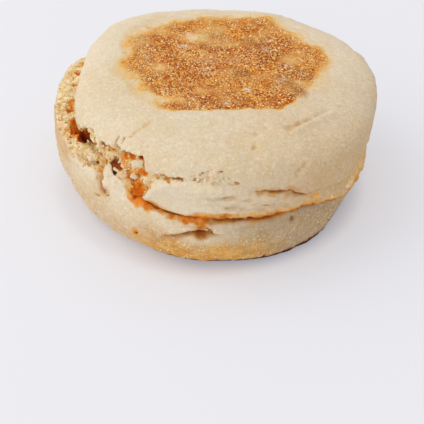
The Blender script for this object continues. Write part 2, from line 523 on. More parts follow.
    # at the front left the edge stands a little open
    gap = gap + 0.3 * smooth(-122, -115, a_crown) * (1 - smooth(-100, -88, a_crown)) * smooth(34, 41, r_crown)
    low = face + ((gap + lift - climb)[:, :, None]).astype(f32) - Z - rough * (0.2 + 0.8 * smooth(0.2, 2.4, -crown_skin))
    front = smooth(-122, -112, a_crown) * (1 - smooth(-30, -10, a_crown))
    crown = smax(crown_skin, low, (0.8 - 0.72 * zone - 0.3 * front)[:, :, None].astype(f32))
    del low
    for i in range(1800):
        r = rng.uniform(0.9, 2.2) if rng.random() < 0.08 else rng.uniform(0.35, 0.8)
        a, q = rng.uniform(0, 2 * math.pi), 38.0 * math.sqrt(rng.random())
        x, y = q * math.cos(a) + STACK["x"], q * math.sin(a) + STACK["y"]
        zz = float(split_height(x, y)) + 0.9 + rng.normal(0.2, 0.35) + 0.2 * r
        carve(crown, (x, y, zz), (r * rng.uniform(0.9, 1.5), r * rng.uniform(0.9, 1.5), r * rng.uniform(0.7, 1.2)), 0.2)

    # ---------------- crown: skin and crumb missing at the front left, and the tear
    (s, p) = block((-46, -46, 15), (0, 6, 37))
    ang = crown_angle(p[0], p[1])
    ang = np.where(ang > 60, ang - 360, ang).astype(f32)
    zp = np.broadcast_to(p[2], crown[s].shape)
    arc = np.broadcast_to(np.radians(ang) * 42.0, crown[s].shape).astype(f32)
    axes = [p[0].ravel(), p[1].ravel(), p[2].ravel()]
    jag = noise(axes, 0.9, 61) * f32(0.22) + noise(axes, 0.5, 62) * f32(0.16)
    region = chart(BITE, arc, zp) + jag
    angb = np.broadcast_to(ang, crown[s].shape)
    foot = np.interp(ang, [-172, -165, -158, -150, -144, -139, -135, -130, -124, -116, -108, -101], [2.0, 5.0, 5.6, 4.4, 3.2, 2.2, 1.5, 1.3, 1.3, 1.6, 1.6, 1.3])
    under_skin = np.interp(ang, [-172, -165, -150, -141, -132, -127, -119, -112, -101], [1.0, 1.8, 1.6, 1.3, 1.5, 1.9, 2.0, 1.6, 1.2])
    rise = smooth(34.0, 22.0, zp)
    deep = np.broadcast_to(under_skin, crown[s].shape) * (1 - rise) + np.broadcast_to(foot, crown[s].shape) * rise
    crumbly = noise(axes, 1.7, 63) * f32(0.40) + noise(axes, 0.9, 64) * f32(0.26) + noise(axes, 0.5, 65) * f32(0.17)
    depth = -crown_skin[s] + crumbly
    hollow = np.maximum(region + 0.25 * np.minimum(depth, 1.5), (depth - deep).astype(f32))
    crown[s] = smax(crown[s], -hollow, f32(0.25))

    # the tear in the front
    (s2, p2) = block((-14, -47, 26), (12, -34, 36))
    ang2 = crown_angle(p2[0], p2[1])
    arc2 = np.broadcast_to(np.radians(ang2) * 42.0, crown[s2].shape).astype(f32)
    zp2 = np.broadcast_to(p2[2], crown[s2].shape)
    axes2 = [p2[0].ravel(), p2[1].ravel(), p2[2].ravel()]
    region2 = chart(TEAR, arc2, zp2) + noise(axes2, 0.6, 71) * f32(0.22)
    depth2 = -crown_skin[s2] + noise(axes2, 0.9, 72) * f32(0.5) + noise(axes2, 0.5, 73) * f32(0.35)
    crown[s2] = smax(crown[s2], -np.maximum(region2 - 0.25, depth2 - 0.85), f32(0.2))

    # the torn and toasted edge along the lower right
    (s3, p3) = block((14, -42, 11), (49, 22, 27))
    ang3 = crown_angle(p3[0], p3[1])
    arc3 = np.broadcast_to(np.radians(ang3) * 42.0, crown[s3].shape).astype(f32)
    zp3 = np.broadcast_to(p3[2], crown[s3].shape)
    axes3 = [p3[0].ravel(), p3[1].ravel(), p3[2].ravel()]
    region3 = chart(RIM, arc3, zp3) + noise(axes3, 1.2, 75) * f32(0.12) + noise(axes3, 0.6, 76) * f32(0.08)
    depth3 = -crown_skin[s3] + noise(axes3, 0.8, 77) * f32(0.16) + noise(axes3, 0.5, 78) * f32(0.1)
    crown[s3] = smax(crown[s3], -np.maximum(region3, depth3 - 0.45), f32(0.4))

    # holes and lumps in the open crumb
    for at, size in [((-26.0, -27.2, 25.2), (0.9, 1.8, 1.9)), ((-20.8, -32.2, 33.0), (1.6, 1.3, 0.6)), ((-18.6, -34.0, 33.0), (1.2, 1.2, 0.5)),
                     ((-11.4, -39.9, 30.2), (1.8, 1.6, 0.7)), ((-8.6, -40.5, 30.8), (1.4, 1.2, 0.5)), ((-25.2, -26.6, 32.4), (1.8, 1.4, 0.9)),
                     ((-35.0, -13.8, 27.5), (2.0, 2.2, 3.0)), ((-19.0, -32.2, 26.6), (0.7, 1.0, 0.8)), ((-16.6, -35.6, 25.6), (1.0, 1.2, 0.7))]:
        carve(crown, at, size, 0.2, 0.25, 81)
    for at, size in [((-19.0, -34.4, 31.4), (1.2, 1.0, 0.9)), ((-13.6, -36.4, 28.2), (1.2, 1.4, 1.2)), ((-22.6, -30.6, 27.6), (1.3, 1.0, 1.2)),
                     ((-20.0, -32.8, 28.4), (1.1, 0.9, 0.9)), ((-16.2, -35.4, 27.4), (1.4, 0.9, 0.9)), ((-29.2, -24.0, 24.2), (1.6, 1.2, 1.0)),
                     ((-32.0, -21.0, 23.6), (1.4, 1.2, 0.9))]:
        add(crown, at, size, 0.4, 0.25, 82)
    for i in range(260):
        a = math.radians(rng.uniform(-168, -103))
        h = rng.uniform(21, 33)
        q = 41.0 - float(np.interp(math.degrees(a), [-172, -158, -135, -116, -101], [2, 4.2, 3.2, 2.4, 1.2])) + rng.normal(0, 0.4)
        r = rng.uniform(0.25, 0.55)
        carve(crown, (STACK["x"] + q * math.cos(a), STACK["y"] + q * math.sin(a), h), (r, r, r * rng.uniform(0.7, 1.3)), 0.15)

    # torn crumb: many small lumps and holes
    def litter(field, outline, a0, a1, z0, z1, count, lump, hole, sink):
        q = np.array([[math.radians(t) * 42.0, h] for t, h in outline])
        a = rng.uniform(a0, a1, count)
        h = rng.uniform(z0, z1, count)
        inside = chart(outline, np.radians(a) * 42.0, h) < -0.15
        a, h = np.radians(a[inside]), h[inside]
        reach = np.full(len(a), 30.0)
        for r in np.arange(46.0, 30.0, -0.25):
            at = np.stack([STACK["x"] + r * np.cos(a), STACK["y"] + r * np.sin(a), h], 1)
            reach = np.where((reach == 30.0) & (sample(field, at) < 0), r, reach)
        for i in range(len(a)):
            if reach[i] == 30.0:
                continue
            c, sn = math.cos(a[i]), math.sin(a[i])
            big = rng.random()
            if i % 3 < 2:
                r = lump[0] + (lump[1] - lump[0]) * big * big
                q = reach[i] - sink * r
                add(field, (STACK["x"] + q * c, STACK["y"] + q * sn, h[i]), (r * rng.uniform(0.8, 1.3), r * rng.uniform(0.8, 1.3), r * rng.uniform(0.7, 1.1)), 0.15)
            else:
                r = hole[0] + (hole[1] - hole[0]) * big * big
                q = reach[i] - 0.1 * r
                carve(field, (STACK["x"] + q * c, STACK["y"] + q * sn, h[i]), (r * rng.uniform(0.9, 1.5), r * rng.uniform(0.9, 1.5), r * rng.uniform(0.7, 1.2)), 0.12)
    litter(crown, BITE, -168, -102, 17.5, 34, 1500, (0.3, 0.66), (0.2, 0.4), 0.35)
    litter(crown, TEAR, -103, -80, 29.5, 33.6, 420, (0.3, 0.66), (0.08, 0.14), 0.1)
    add(crown, (-1.8, -40.5, 33.1), (1.0, 0.6, 0.6), 0.3, 0.2, 87)
    for at, size in [((-19.3, -35.4, 31.9), (1.6, 1.15, 1.15)), ((-13.6, -36.4, 28.2), (1.2, 1.4, 1.2)), ((-20.6, -34.4, 27.0), (1.3, 1.0, 1.0))]:
        add(crown, at, size, 0.3, 0.25, 83)
    carve(crown, (-25.6, -29.2, 26.9), (0.95, 2.3, 2.3), 0.2, 0.2, 84)
    carve(heel, (-25.9, -29.3, 25.0), (0.8, 2.0, 1.5), 0.2, 0.2, 85)
    # crumb that bridges the gap beside the tongue
    for x, y, z, r in [(-24.1, -31.5, 25.0, 0.75), (-23.5, -32.1, 24.7, 0.8), (-22.9, -32.6, 24.3, 0.8), (-22.3, -33.1, 23.6, 0.85), (-21.7, -33.6, 22.9, 0.8),
                       (-21.2, -33.9, 22.1, 0.8), (-20.7, -34.0, 21.3, 0.8), (-20.2, -34.4, 20.7, 0.7), (-22.6, -32.2, 25.2, 0.8), (-21.6, -32.9, 24.2, 0.8)]:
        add(crown, (x, y, z), (r, r, 0.9 * r), 0.3, 0.25, 86)
    # bits along the seam between the bite and the heel
    for i in range(380):
        a = math.radians(rng.uniform(-154, -116))
        q = 39.6 - float(np.interp(math.degrees(a), [-152, -140, -128, -116], [3.6, 1.6, 0.2, 0.0])) + rng.normal(0, 0.35)
        x, y = STACK["x"] + q * math.cos(a), STACK["y"] + q * math.sin(a)
        z = float(heel_top(x, y)) + rng.uniform(0.0, 1.2)
        r = rng.uniform(0.4, 0.85)
        add(crown, (x, y, float(z)), (r * rng.uniform(0.9, 1.4), r * rng.uniform(0.9, 1.4), r * rng.uniform(0.7, 1.0)), 0.25)

    # cracks in the upper skin
    for n, line in enumerate(CRACKS):
        groove(crown, curve(line), 0.36, 0.4, 0.15)
        crack(crown, curve(line), 0.42, 0.15, 0.04, 91 + n)

    # the halves don't run into each other
    crown = np.maximum(crown, f32(0.08) - heel)
    return heel_skin, crown_skin, heel, crown


def sample(field, p):
    """The field's value at points, between its grid points."""
    q = (p - LO) / VOX
    q = np.clip(q, 0, np.array(field.shape) - 1.001)
    i = q.astype(int)
    t = (q - i).astype(f32)
    out = np.zeros(len(p), f32)
    for dx in (0, 1):
        for dy in (0, 1):
            for dz in (0, 1):
                w = (t[:, 0] if dx else 1 - t[:, 0]) * (t[:, 1] if dy else 1 - t[:, 1]) * (t[:, 2] if dz else 1 - t[:, 2])
                out += w * field[i[:, 0] + dx, i[:, 1] + dy, i[:, 2] + dz]
    return out


def to_mesh(name, field, most=190000):
    """The surface of a field as a mesh in the part's frame, in metres."""
    g = vdb.FloatGrid(3.0)
    g.transform = vdb.createLinearTransform(voxelSize=VOX)
    g.copyFromArray(np.clip(field, -3, 3))
    pts, tris, quads = g.convertToPolygons(isovalue=0.0, adaptivity=ADAPT)
    pts = np.asarray(pts, float) + LO
    quads = np.asarray(quads, np.int64)
    tris = np.asarray(tris, np.int64).reshape(-1, 3)
    tris = np.concatenate([tris, quads[:, [0, 1, 2]], quads[:, [0, 2, 3]]])
    # the winding that makes the volume positive
    v = pts[tris]
    volume = np.einsum("ij,ij->i", v[:, 0], np.cross(v[:, 1], v[:, 2])).sum() / 6
    if volume < 0:
        tris = tris[:, ::-1]
    tris, pts = largest(tris, pts)
    me = fill_mesh(name, (pts + OFFSET) * MM, tris)
    ob = bpy.data.objects.new(name, me)
    bpy.context.scene.collection.objects.link(ob)
    print(name, "triangles", len(tris), "volume cm3", abs(volume) / 1000)
    if len(tris) > most:
        mod = ob.modifiers.new("fewer", "DECIMATE")
        mod.ratio = most / len(tris)
        # the faces between the halves and under the base may lose more
        q = pts - np.array([STACK["x"] / 2, STACK["y"] / 2, 0])
        deep = smooth(39.0, 35.5, np.hypot(q[:, 0], q[:, 1])) * smooth(4.5, 3.0, np.abs(q[:, 2] - split_height(q[:, 0], q[:, 1]) - 0.5))
        deep = np.maximum(deep, smooth(0.5, 0.2, q[:, 2]))
        group = ob.vertex_groups.new(name="deep")
        for level in range(1, 11):
            at = np.nonzero(np.round(deep * 10) == level)[0]
            group.add(at.tolist(), level / 10, "REPLACE")
        mod.vertex_group = "deep"
        mod.vertex_group_factor = 0.6
        less = bpy.data.meshes.new_from_object(ob.evaluated_get(bpy.context.evaluated_depsgraph_get()))
        ob.modifiers.clear()
        ob.vertex_groups.clear()
        ob.data = less
        bpy.data.meshes.remove(me)
        less.name = name
        me = less
    me.polygons.foreach_set("use_smooth", np.ones(len(me.polygons), bool))
    return ob


def largest(tris, pts):
    """Keeps the biggest connected piece and drops loose specks."""
    parent = np.arange(len(pts))
    e = np.concatenate([tris[:, [0, 1]], tris[:, [1, 2]]])
    while True:
        m = np.minimum(parent[e[:, 0]], parent[e[:, 1]])
        before = parent.copy()
        np.minimum.at(parent, e[:, 0], m)
        np.minimum.at(parent, e[:, 1], m)
        parent = parent[parent]
        if (parent == before).all():
            break
    roots, counts = np.unique(parent, return_counts=True)
    keep = parent == roots[counts.argmax()]
    index = np.cumsum(keep) - 1
    t = tris[keep[tris[:, 0]]]
    return index[t], pts[keep]


def fill_mesh(name, pts, tris):
    me = bpy.data.meshes.new(name)
    me.vertices.add(len(pts))
    me.vertices.foreach_set("co", np.asarray(pts, f32).ravel())
    me.loops.add(tris.size)
    me.loops.foreach_set("vertex_index", tris.astype(np.int32).ravel())
    me.polygons.add(len(tris))
    me.polygons.foreach_set("loop_start", np.arange(0, tris.size, 3, dtype=np.int32))
    me.update(calc_edges=True)
    me.validate()
    return me


def points_of(ob):
    co = np.zeros(len(ob.data.vertices) * 3, f32)
    ob.data.vertices.foreach_get("co", co)
    n = np.zeros(len(ob.data.vertices) * 3, f32)
    ob.data.vertex_normals.foreach_get("vector", n)
    return co.reshape(-1, 3) / MM - OFFSET, n.reshape(-1, 3)


def set_layer(ob, name, values):
    at = ob.data.attributes.get(name) or ob.data.attributes.new(name, "FLOAT", "POINT")
    at.data.foreach_set("value", np.clip(values, 0, 1).astype(f32))


def spots(p, marks):
    """The strongest of some soft round marks: (x, y, z, radius, strength)."""
    out = np.zeros(len(p))
    for x, y, z, r, strength in marks:
        d = np.sqrt((p[:, 0] - x) ** 2 + (p[:, 1] - y) ** 2 + (p[:, 2] - z) ** 2)
        out = np.maximum(out, strength * (1 - smooth(0.45 * r, 1.25 * r, d)))
    return out


def wobble(p, cell, seed):
    """The same kind of smooth random field, at scattered points."""
    rng = np.random.default_rng(seed)
    q = (p - LO) / cell + rng.uniform(2, 4, 3)
    shape = tuple(int(v) + 8 for v in (HI - LO) / cell + 4)
    n = rng.standard_normal(shape).astype(f32) * f32(3.0)
    i = np.clip(np.floor(q).astype(int), 0, np.array(shape) - 4)
    t = (q - i).astype(f32)
    w = [(1 - t) ** 3 / 6, (3 * t ** 3 - 6 * t ** 2 + 4) / 6, (-3 * t ** 3 + 3 * t ** 2 + 3 * t + 1) / 6, t ** 3 / 6]
    out = np.zeros(len(p), f32)
    for a in range(4):
        for b in range(4):
            for c in range(4):
                out += w[a][:, 0] * w[b][:, 1] * w[c][:, 2] * n[i[:, 0] + a, i[:, 1] + b, i[:, 2] + c]
    return out


PATCH = [(-13.4, -19.8), (-9.0, -19.6), (-2.1, -19.0), (4.9, -18.2), (10.4, -17.6), (16.0, -17.2), (20.5, -17.1), (24.2, -13.5), (27.9, -7.2),
         (31.0, -2.2), (33.8, 6.9), (35.6, 14.0), (34.0, 18.2), (30.2, 19.5), (25.7, 25.4), (21.9, 28.5), (20.6, 32.0), (18.6, 36.2), (13.7, 35.6),
         (7.0, 35.4), (0.7, 33.9), (-5.4, 32.3), (-14.3, 29.0), (-20.5, 24.6), (-23.8, 18.9), (-24.7, 13.0), (-25.1, 7.4), (-24.2, 0.1),
         (-20.3, -6.6), (-18.2, -11.3), (-15.2, -16.1)]


def line_near(p, line):
    """How far points are from a line."""
    q = np.asarray(line, float)
    best = np.full(len(p), 1e9)
    for a, b in zip(q[:-1], q[1:]):
        t = np.clip(((p - a) @ (b - a)) / ((b - a) @ (b - a)), 0, 1)
        best = np.minimum(best, np.linalg.norm(p - a - t[:, None] * (b - a), axis=1))
    return best


def outline_distance(outline, x, y):
    q = np.asarray(outline, float)
    best = np.full(x.shape, 1e9)
    inside = np.zeros(x.shape, bool)
    for i in range(len(q)):
        (ax, ay), (bx, by) = q[i], q[(i + 1) % len(q)]
        dx, dy = bx - ax, by - ay
        t = np.clip(((x - ax) * dx + (y - ay) * dy) / (dx * dx + dy * dy), 0, 1)
        best = np.minimum(best, (x - ax - t * dx) ** 2 + (y - ay - t * dy) ** 2)
        inside ^= ((ay > y) != (by > y)) & (x < dx * (y - ay) / (dy if dy else 1e-12) + ax)
    d = np.sqrt(best)
    return np.where(inside, -d, d)


# ------------------------------------------------------------------ the bread's materials
def lin(r, g, b):
    c = [v / 255 for v in (r, g, b)]
    return tuple(v / 12.92 if v <= 0.04045 else ((v + 0.055) / 1.055) ** 2.4 for v in c) + (1.0,)


class Nodes:
    def __init__(self, name):
        self.m = bpy.data.materials.new(name)
        self.m.use_nodes = True
        self.t = self.m.node_tree
        self.t.nodes.clear()
        self.out = self.t.nodes.new("ShaderNodeOutputMaterial")
        self.b = self.t.nodes.new("ShaderNodeBsdfPrincipled")
        self.t.links.new(self.b.outputs[0], self.out.inputs[0])
        self.where = self.t.nodes.new("ShaderNodeTexCoord").outputs["Object"]

    def link(self, a, b):
        if hasattr(a, "is_output"):
            self.t.links.new(a, b)
        else:
            b.default_value = a

    def attr(self, name):
        n = self.t.nodes.new("ShaderNodeAttribute")
        n.attribute_name = name
        return n.outputs["Fac"]

    def noise(self, mm, detail=3.0, rough=0.55, distort=0.0, where=None):
        """Noise whose bumps are about mm across."""
        n = self.t.nodes.new("ShaderNodeTexNoise")
        n.inputs["Scale"].default_value = 500.0 / mm
        n.inputs["Detail"].default_value = detail
        n.inputs["Roughness"].default_value = rough
        n.inputs["Distortion"].default_value = distort
        self.t.links.new(where or self.where, n.inputs["Vector"])
        return n.outputs["Fac"]

    def cells(self, mm, feature="F1", out="Distance"):
        n = self.t.nodes.new("ShaderNodeTexVoronoi")
        n.feature = feature
        n.inputs["Scale"].default_value = 1000.0 / mm
        self.t.links.new(self.where, n.inputs["Vector"])
        return n.outputs[out]

    def step(self, v, lo, hi, a=0.0, b=1.0, soft=True):
        n = self.t.nodes.new("ShaderNodeMapRange")
        n.interpolation_type = "SMOOTHSTEP" if soft else "LINEAR"
        self.link(v, n.inputs["Value"])
        for k, x in (("From Min", lo), ("From Max", hi), ("To Min", a), ("To Max", b)):
            n.inputs[k].default_value = x
        return n.outputs["Result"]

    def math(self, op, a, b=0.0, clamp=False):
        n = self.t.nodes.new("ShaderNodeMath")
        n.operation = op
        n.use_clamp = clamp
        self.link(a, n.inputs[0])
        self.link(b, n.inputs[1])
        return n.outputs[0]

    def mix(self, fac, a, b, kind="MIX"):
        n = self.t.nodes.new("ShaderNodeMix")
        n.data_type = "RGBA"
        n.blend_type = kind
        self.link(fac, n.inputs["Factor"])
        self.link(a, n.inputs["A"])
        self.link(b, n.inputs["B"])
        return n.outputs["Result"]


def bread(name, gold_tint, tan_tint):
    k = Nodes(name)
    burnt = k.attr("burnt")
    crumb, toast, brown, dark = k.attr("crumb"), k.attr("toast"), k.attr("brown"), k.attr("dark")
    gold, flour, pale, grit, hollow = k.attr("gold"), k.attr("flour"), k.attr("pale"), k.attr("grit"), k.attr("hollow")
    wide, mid, small, tiny = k.noise(14, 2), k.noise(4.0, 3), k.noise(1.1, 3), k.noise(0.45, 3, 0.65)
    fleck = k.cells(0.5, out="Color")
    grain = k.cells(0.42, out="Color")
    speck = k.cells(0.36, out="Color")

    # pale skin with faint yellow and grey patches and flour
    skin = k.mix(k.step(wide, 0.35, 0.65), lin(229, 211, 180), lin(226, 205, 169))
    skin = k.mix(k.step(mid, 0.42, 0.68, 0, 0.35), skin, lin(221, 196, 152))
    skin = k.mix(k.step(small, 0.5, 0.72, 0, 0.3), skin, lin(239, 227, 204))
    skin = k.mix(k.step(tiny, 0.3, 0.48, 0.5, 0), skin, lin(206, 181, 140))
    skin = k.mix(k.step(tiny, 0.54, 0.68, 0, 0.5), skin, lin(247, 237, 215))
    skin = k.mix(k.math("MULTIPLY", pale, 0.7), skin, lin(238, 225, 201))
    # golden lower wall
    amber = k.mix(k.step(small, 0.4, 0.65), lin(*gold_tint), lin(213, 162, 88))
    skin = k.mix(k.math("MULTIPLY", gold, k.step(mid, 0.25, 0.6, 0.65, 1.0), True), skin, amber)
    skin = k.mix(k.math("MULTIPLY", k.step(grain, 0.26, 0.14, 0, 0.75), grit), skin, lin(184, 136, 76))
    skin = k.mix(k.math("MULTIPLY", k.step(grain, 0.76, 0.86), grit), skin, lin(253, 234, 188))
    # a browner, duller skin low on the right
    skin = k.mix(k.attr("tan"), skin, lin(*tan_tint), "MULTIPLY")
    # open crumb
    inner = k.mix(k.step(small, 0.35, 0.62), lin(237, 208, 148), lin(250, 232, 188))
    inner = k.mix(k.step(mid, 0.45, 0.7, 0, 0.4), inner, lin(231, 192, 122))
    inner = k.mix(k.step(tiny, 0.47, 0.36, 0, 0.75), inner, lin(206, 154, 80))
    inner = k.mix(k.step(tiny, 0.55, 0.65, 0, 0.75), inner, lin(255, 247, 220))
    inner = k.mix(pale, inner, k.mix(k.step(small, 0.4, 0.62), lin(236, 220, 184), lin(249, 241, 222)))
    c = k.mix(crumb, skin, inner)
    # crevices keep a warm gold
    c = k.mix(k.step(hollow, 0.35, 1.0, 0, 0.7), c, k.mix(crumb, lin(190, 142, 72), lin(220, 156, 62)))
    # toasted edges: golden first, then orange, then red-brown
    c = k.mix(k.step(toast, 0.0, 0.42, 0, 0.9), c, k.mix(k.step(small, 0.4, 0.62), lin(222, 158, 70), lin(234, 184, 102)))
    orange = k.mix(k.step(small, 0.38, 0.66), lin(220, 110, 14), lin(240, 150, 44))
    orange = k.mix(k.step(tiny, 0.35, 0.5, 0.4, 0), orange, lin(176, 82, 14))
    c = k.mix(k.step(toast, 0.35, 0.7), c, orange)
    c = k.mix(k.step(toast, 0.7, 1.0, 0, 0.85), c, k.mix(k.step(small, 0.38, 0.66), lin(188, 66, 6), lin(218, 98, 14)))
    # griddled face
    blotch = k.noise(7.0, 4, 0.6)
    grid = k.mix(k.step(blotch, 0.38, 0.62), lin(190, 92, 22), lin(222, 136, 40))
    grid = k.mix(k.step(wide, 0.42, 0.62, 0, 0.4), grid, lin(196, 104, 32))
    grid = k.mix(k.step(mid, 0.5, 0.68, 0, 0.5), grid, lin(230, 160, 70))
    grid = k.mix(k.step(mid, 0.46, 0.32, 0, 0.55), grid, lin(160, 72, 20))
    grid = k.mix(k.step(small, 0.5, 0.64, 0, 0.6), grid, lin(232, 166, 78))
    grid = k.mix(k.step(small, 0.46, 0.34, 0, 0.6), grid, lin(156, 72, 20))
    grid = k.mix(k.step(speck, 0.40, 0.28, 0, 0.85), grid, lin(128, 50, 12))
    grid = k.mix(k.step(speck, 0.68, 0.78, 0, 0.8), grid, lin(252, 196, 100))
    grid = k.mix(k.step(fleck, 0.83, 0.88, 0, 0.9), grid, lin(255, 232, 164))
    # the browning fades out in blotches
    fade = k.math("MULTIPLY", k.math("MULTIPLY", brown, k.math("SUBTRACT", 1.0, brown)), 4.0)
    drift = k.math("ADD", k.math("MULTIPLY", k.math("SUBTRACT", mid, 0.5), 1.5), k.math("MULTIPLY", k.math("SUBTRACT", small, 0.5), 1.4))
    drift = k.math("ADD", drift, k.math("MULTIPLY", k.math("SUBTRACT", speck, 0.5), 0.35))
    baked = k.math("ADD", brown, k.math("MULTIPLY", fade, drift))
    c = k.mix(k.step(baked, 0.02, 0.42, 0, 0.8), c, lin(233, 199, 138))
    c = k.mix(k.step(baked, 0.28, 0.68, 0, 0.9), c, k.mix(k.step(small, 0.38, 0.62), lin(216, 150, 66), lin(236, 184, 104)))
    c = k.mix(k.step(baked, 0.5, 0.98), c, grid)
    dusty = k.math("MULTIPLY", flour, k.math("ADD", k.step(small, 0.42, 0.6, 0.0, 0.7), k.step(speck, 0.4, 0.6, 0.0, 0.6)), True)
    c = k.mix(dusty, c, lin(244, 220, 186))
    c = k.mix(dark, c, k.mix(k.step(small, 0.35, 0.65), lin(96, 36, 10), lin(158, 72, 24)))
    c = k.mix(burnt, c, lin(66, 28, 10))
    k.link(c, k.b.inputs["Base Color"])

    rough = k.step(brown, 0, 1, 0.88, 0.72, False)
    k.link(rough, k.b.inputs["Roughness"])
    k.b.inputs["Specular IOR Level"].default_value = 0.15
    k.b.inputs["Subsurface Weight"].default_value = 0.18
    k.b.inputs["Subsurface Radius"].default_value = (0.0026, 0.0014, 0.0006)
    k.b.inputs["Subsurface Scale"].default_value = 0.6

    height = k.math("ADD", k.math("MULTIPLY", k.noise(0.9, 4, 0.6), 0.45), k.math("MULTIPLY", k.noise(0.32, 3, 0.6), 0.25))
    height = k.math("MULTIPLY", height, k.step(k.math("MAXIMUM", crumb, brown), 0, 1, 0.8, 1.3, False))
    n = k.t.nodes.new("ShaderNodeBump")
    n.inputs["Strength"].default_value = 0.85
    n.inputs["Distance"].default_value = 0.0006
    k.t.links.new(height, n.inputs["Height"])
    k.t.links.new(n.outputs[0], k.b.inputs["Normal"])
    return k.m


# ------------------------------------------------------------------ build
heel_skin, crown_skin, heel_f, crown_f = make_fields()

heel = to_mesh("bottom_half_bread", heel_f)
crown = to_mesh("top_half_bread", crown_f)


def crevice(p, n, fields, reach=1.0):
    """How shut in each point is, from 0 on open skin to 1 in a narrow gap."""
    room = np.full(len(p), reach)
    for f in fields:
        q = p + reach * n
        room = np.minimum(room, np.where(((q > LO + VOX) & (q < HI - VOX)).all(1), sample(f, q), reach))
    return np.clip(1 - room / reach, 0, 1)


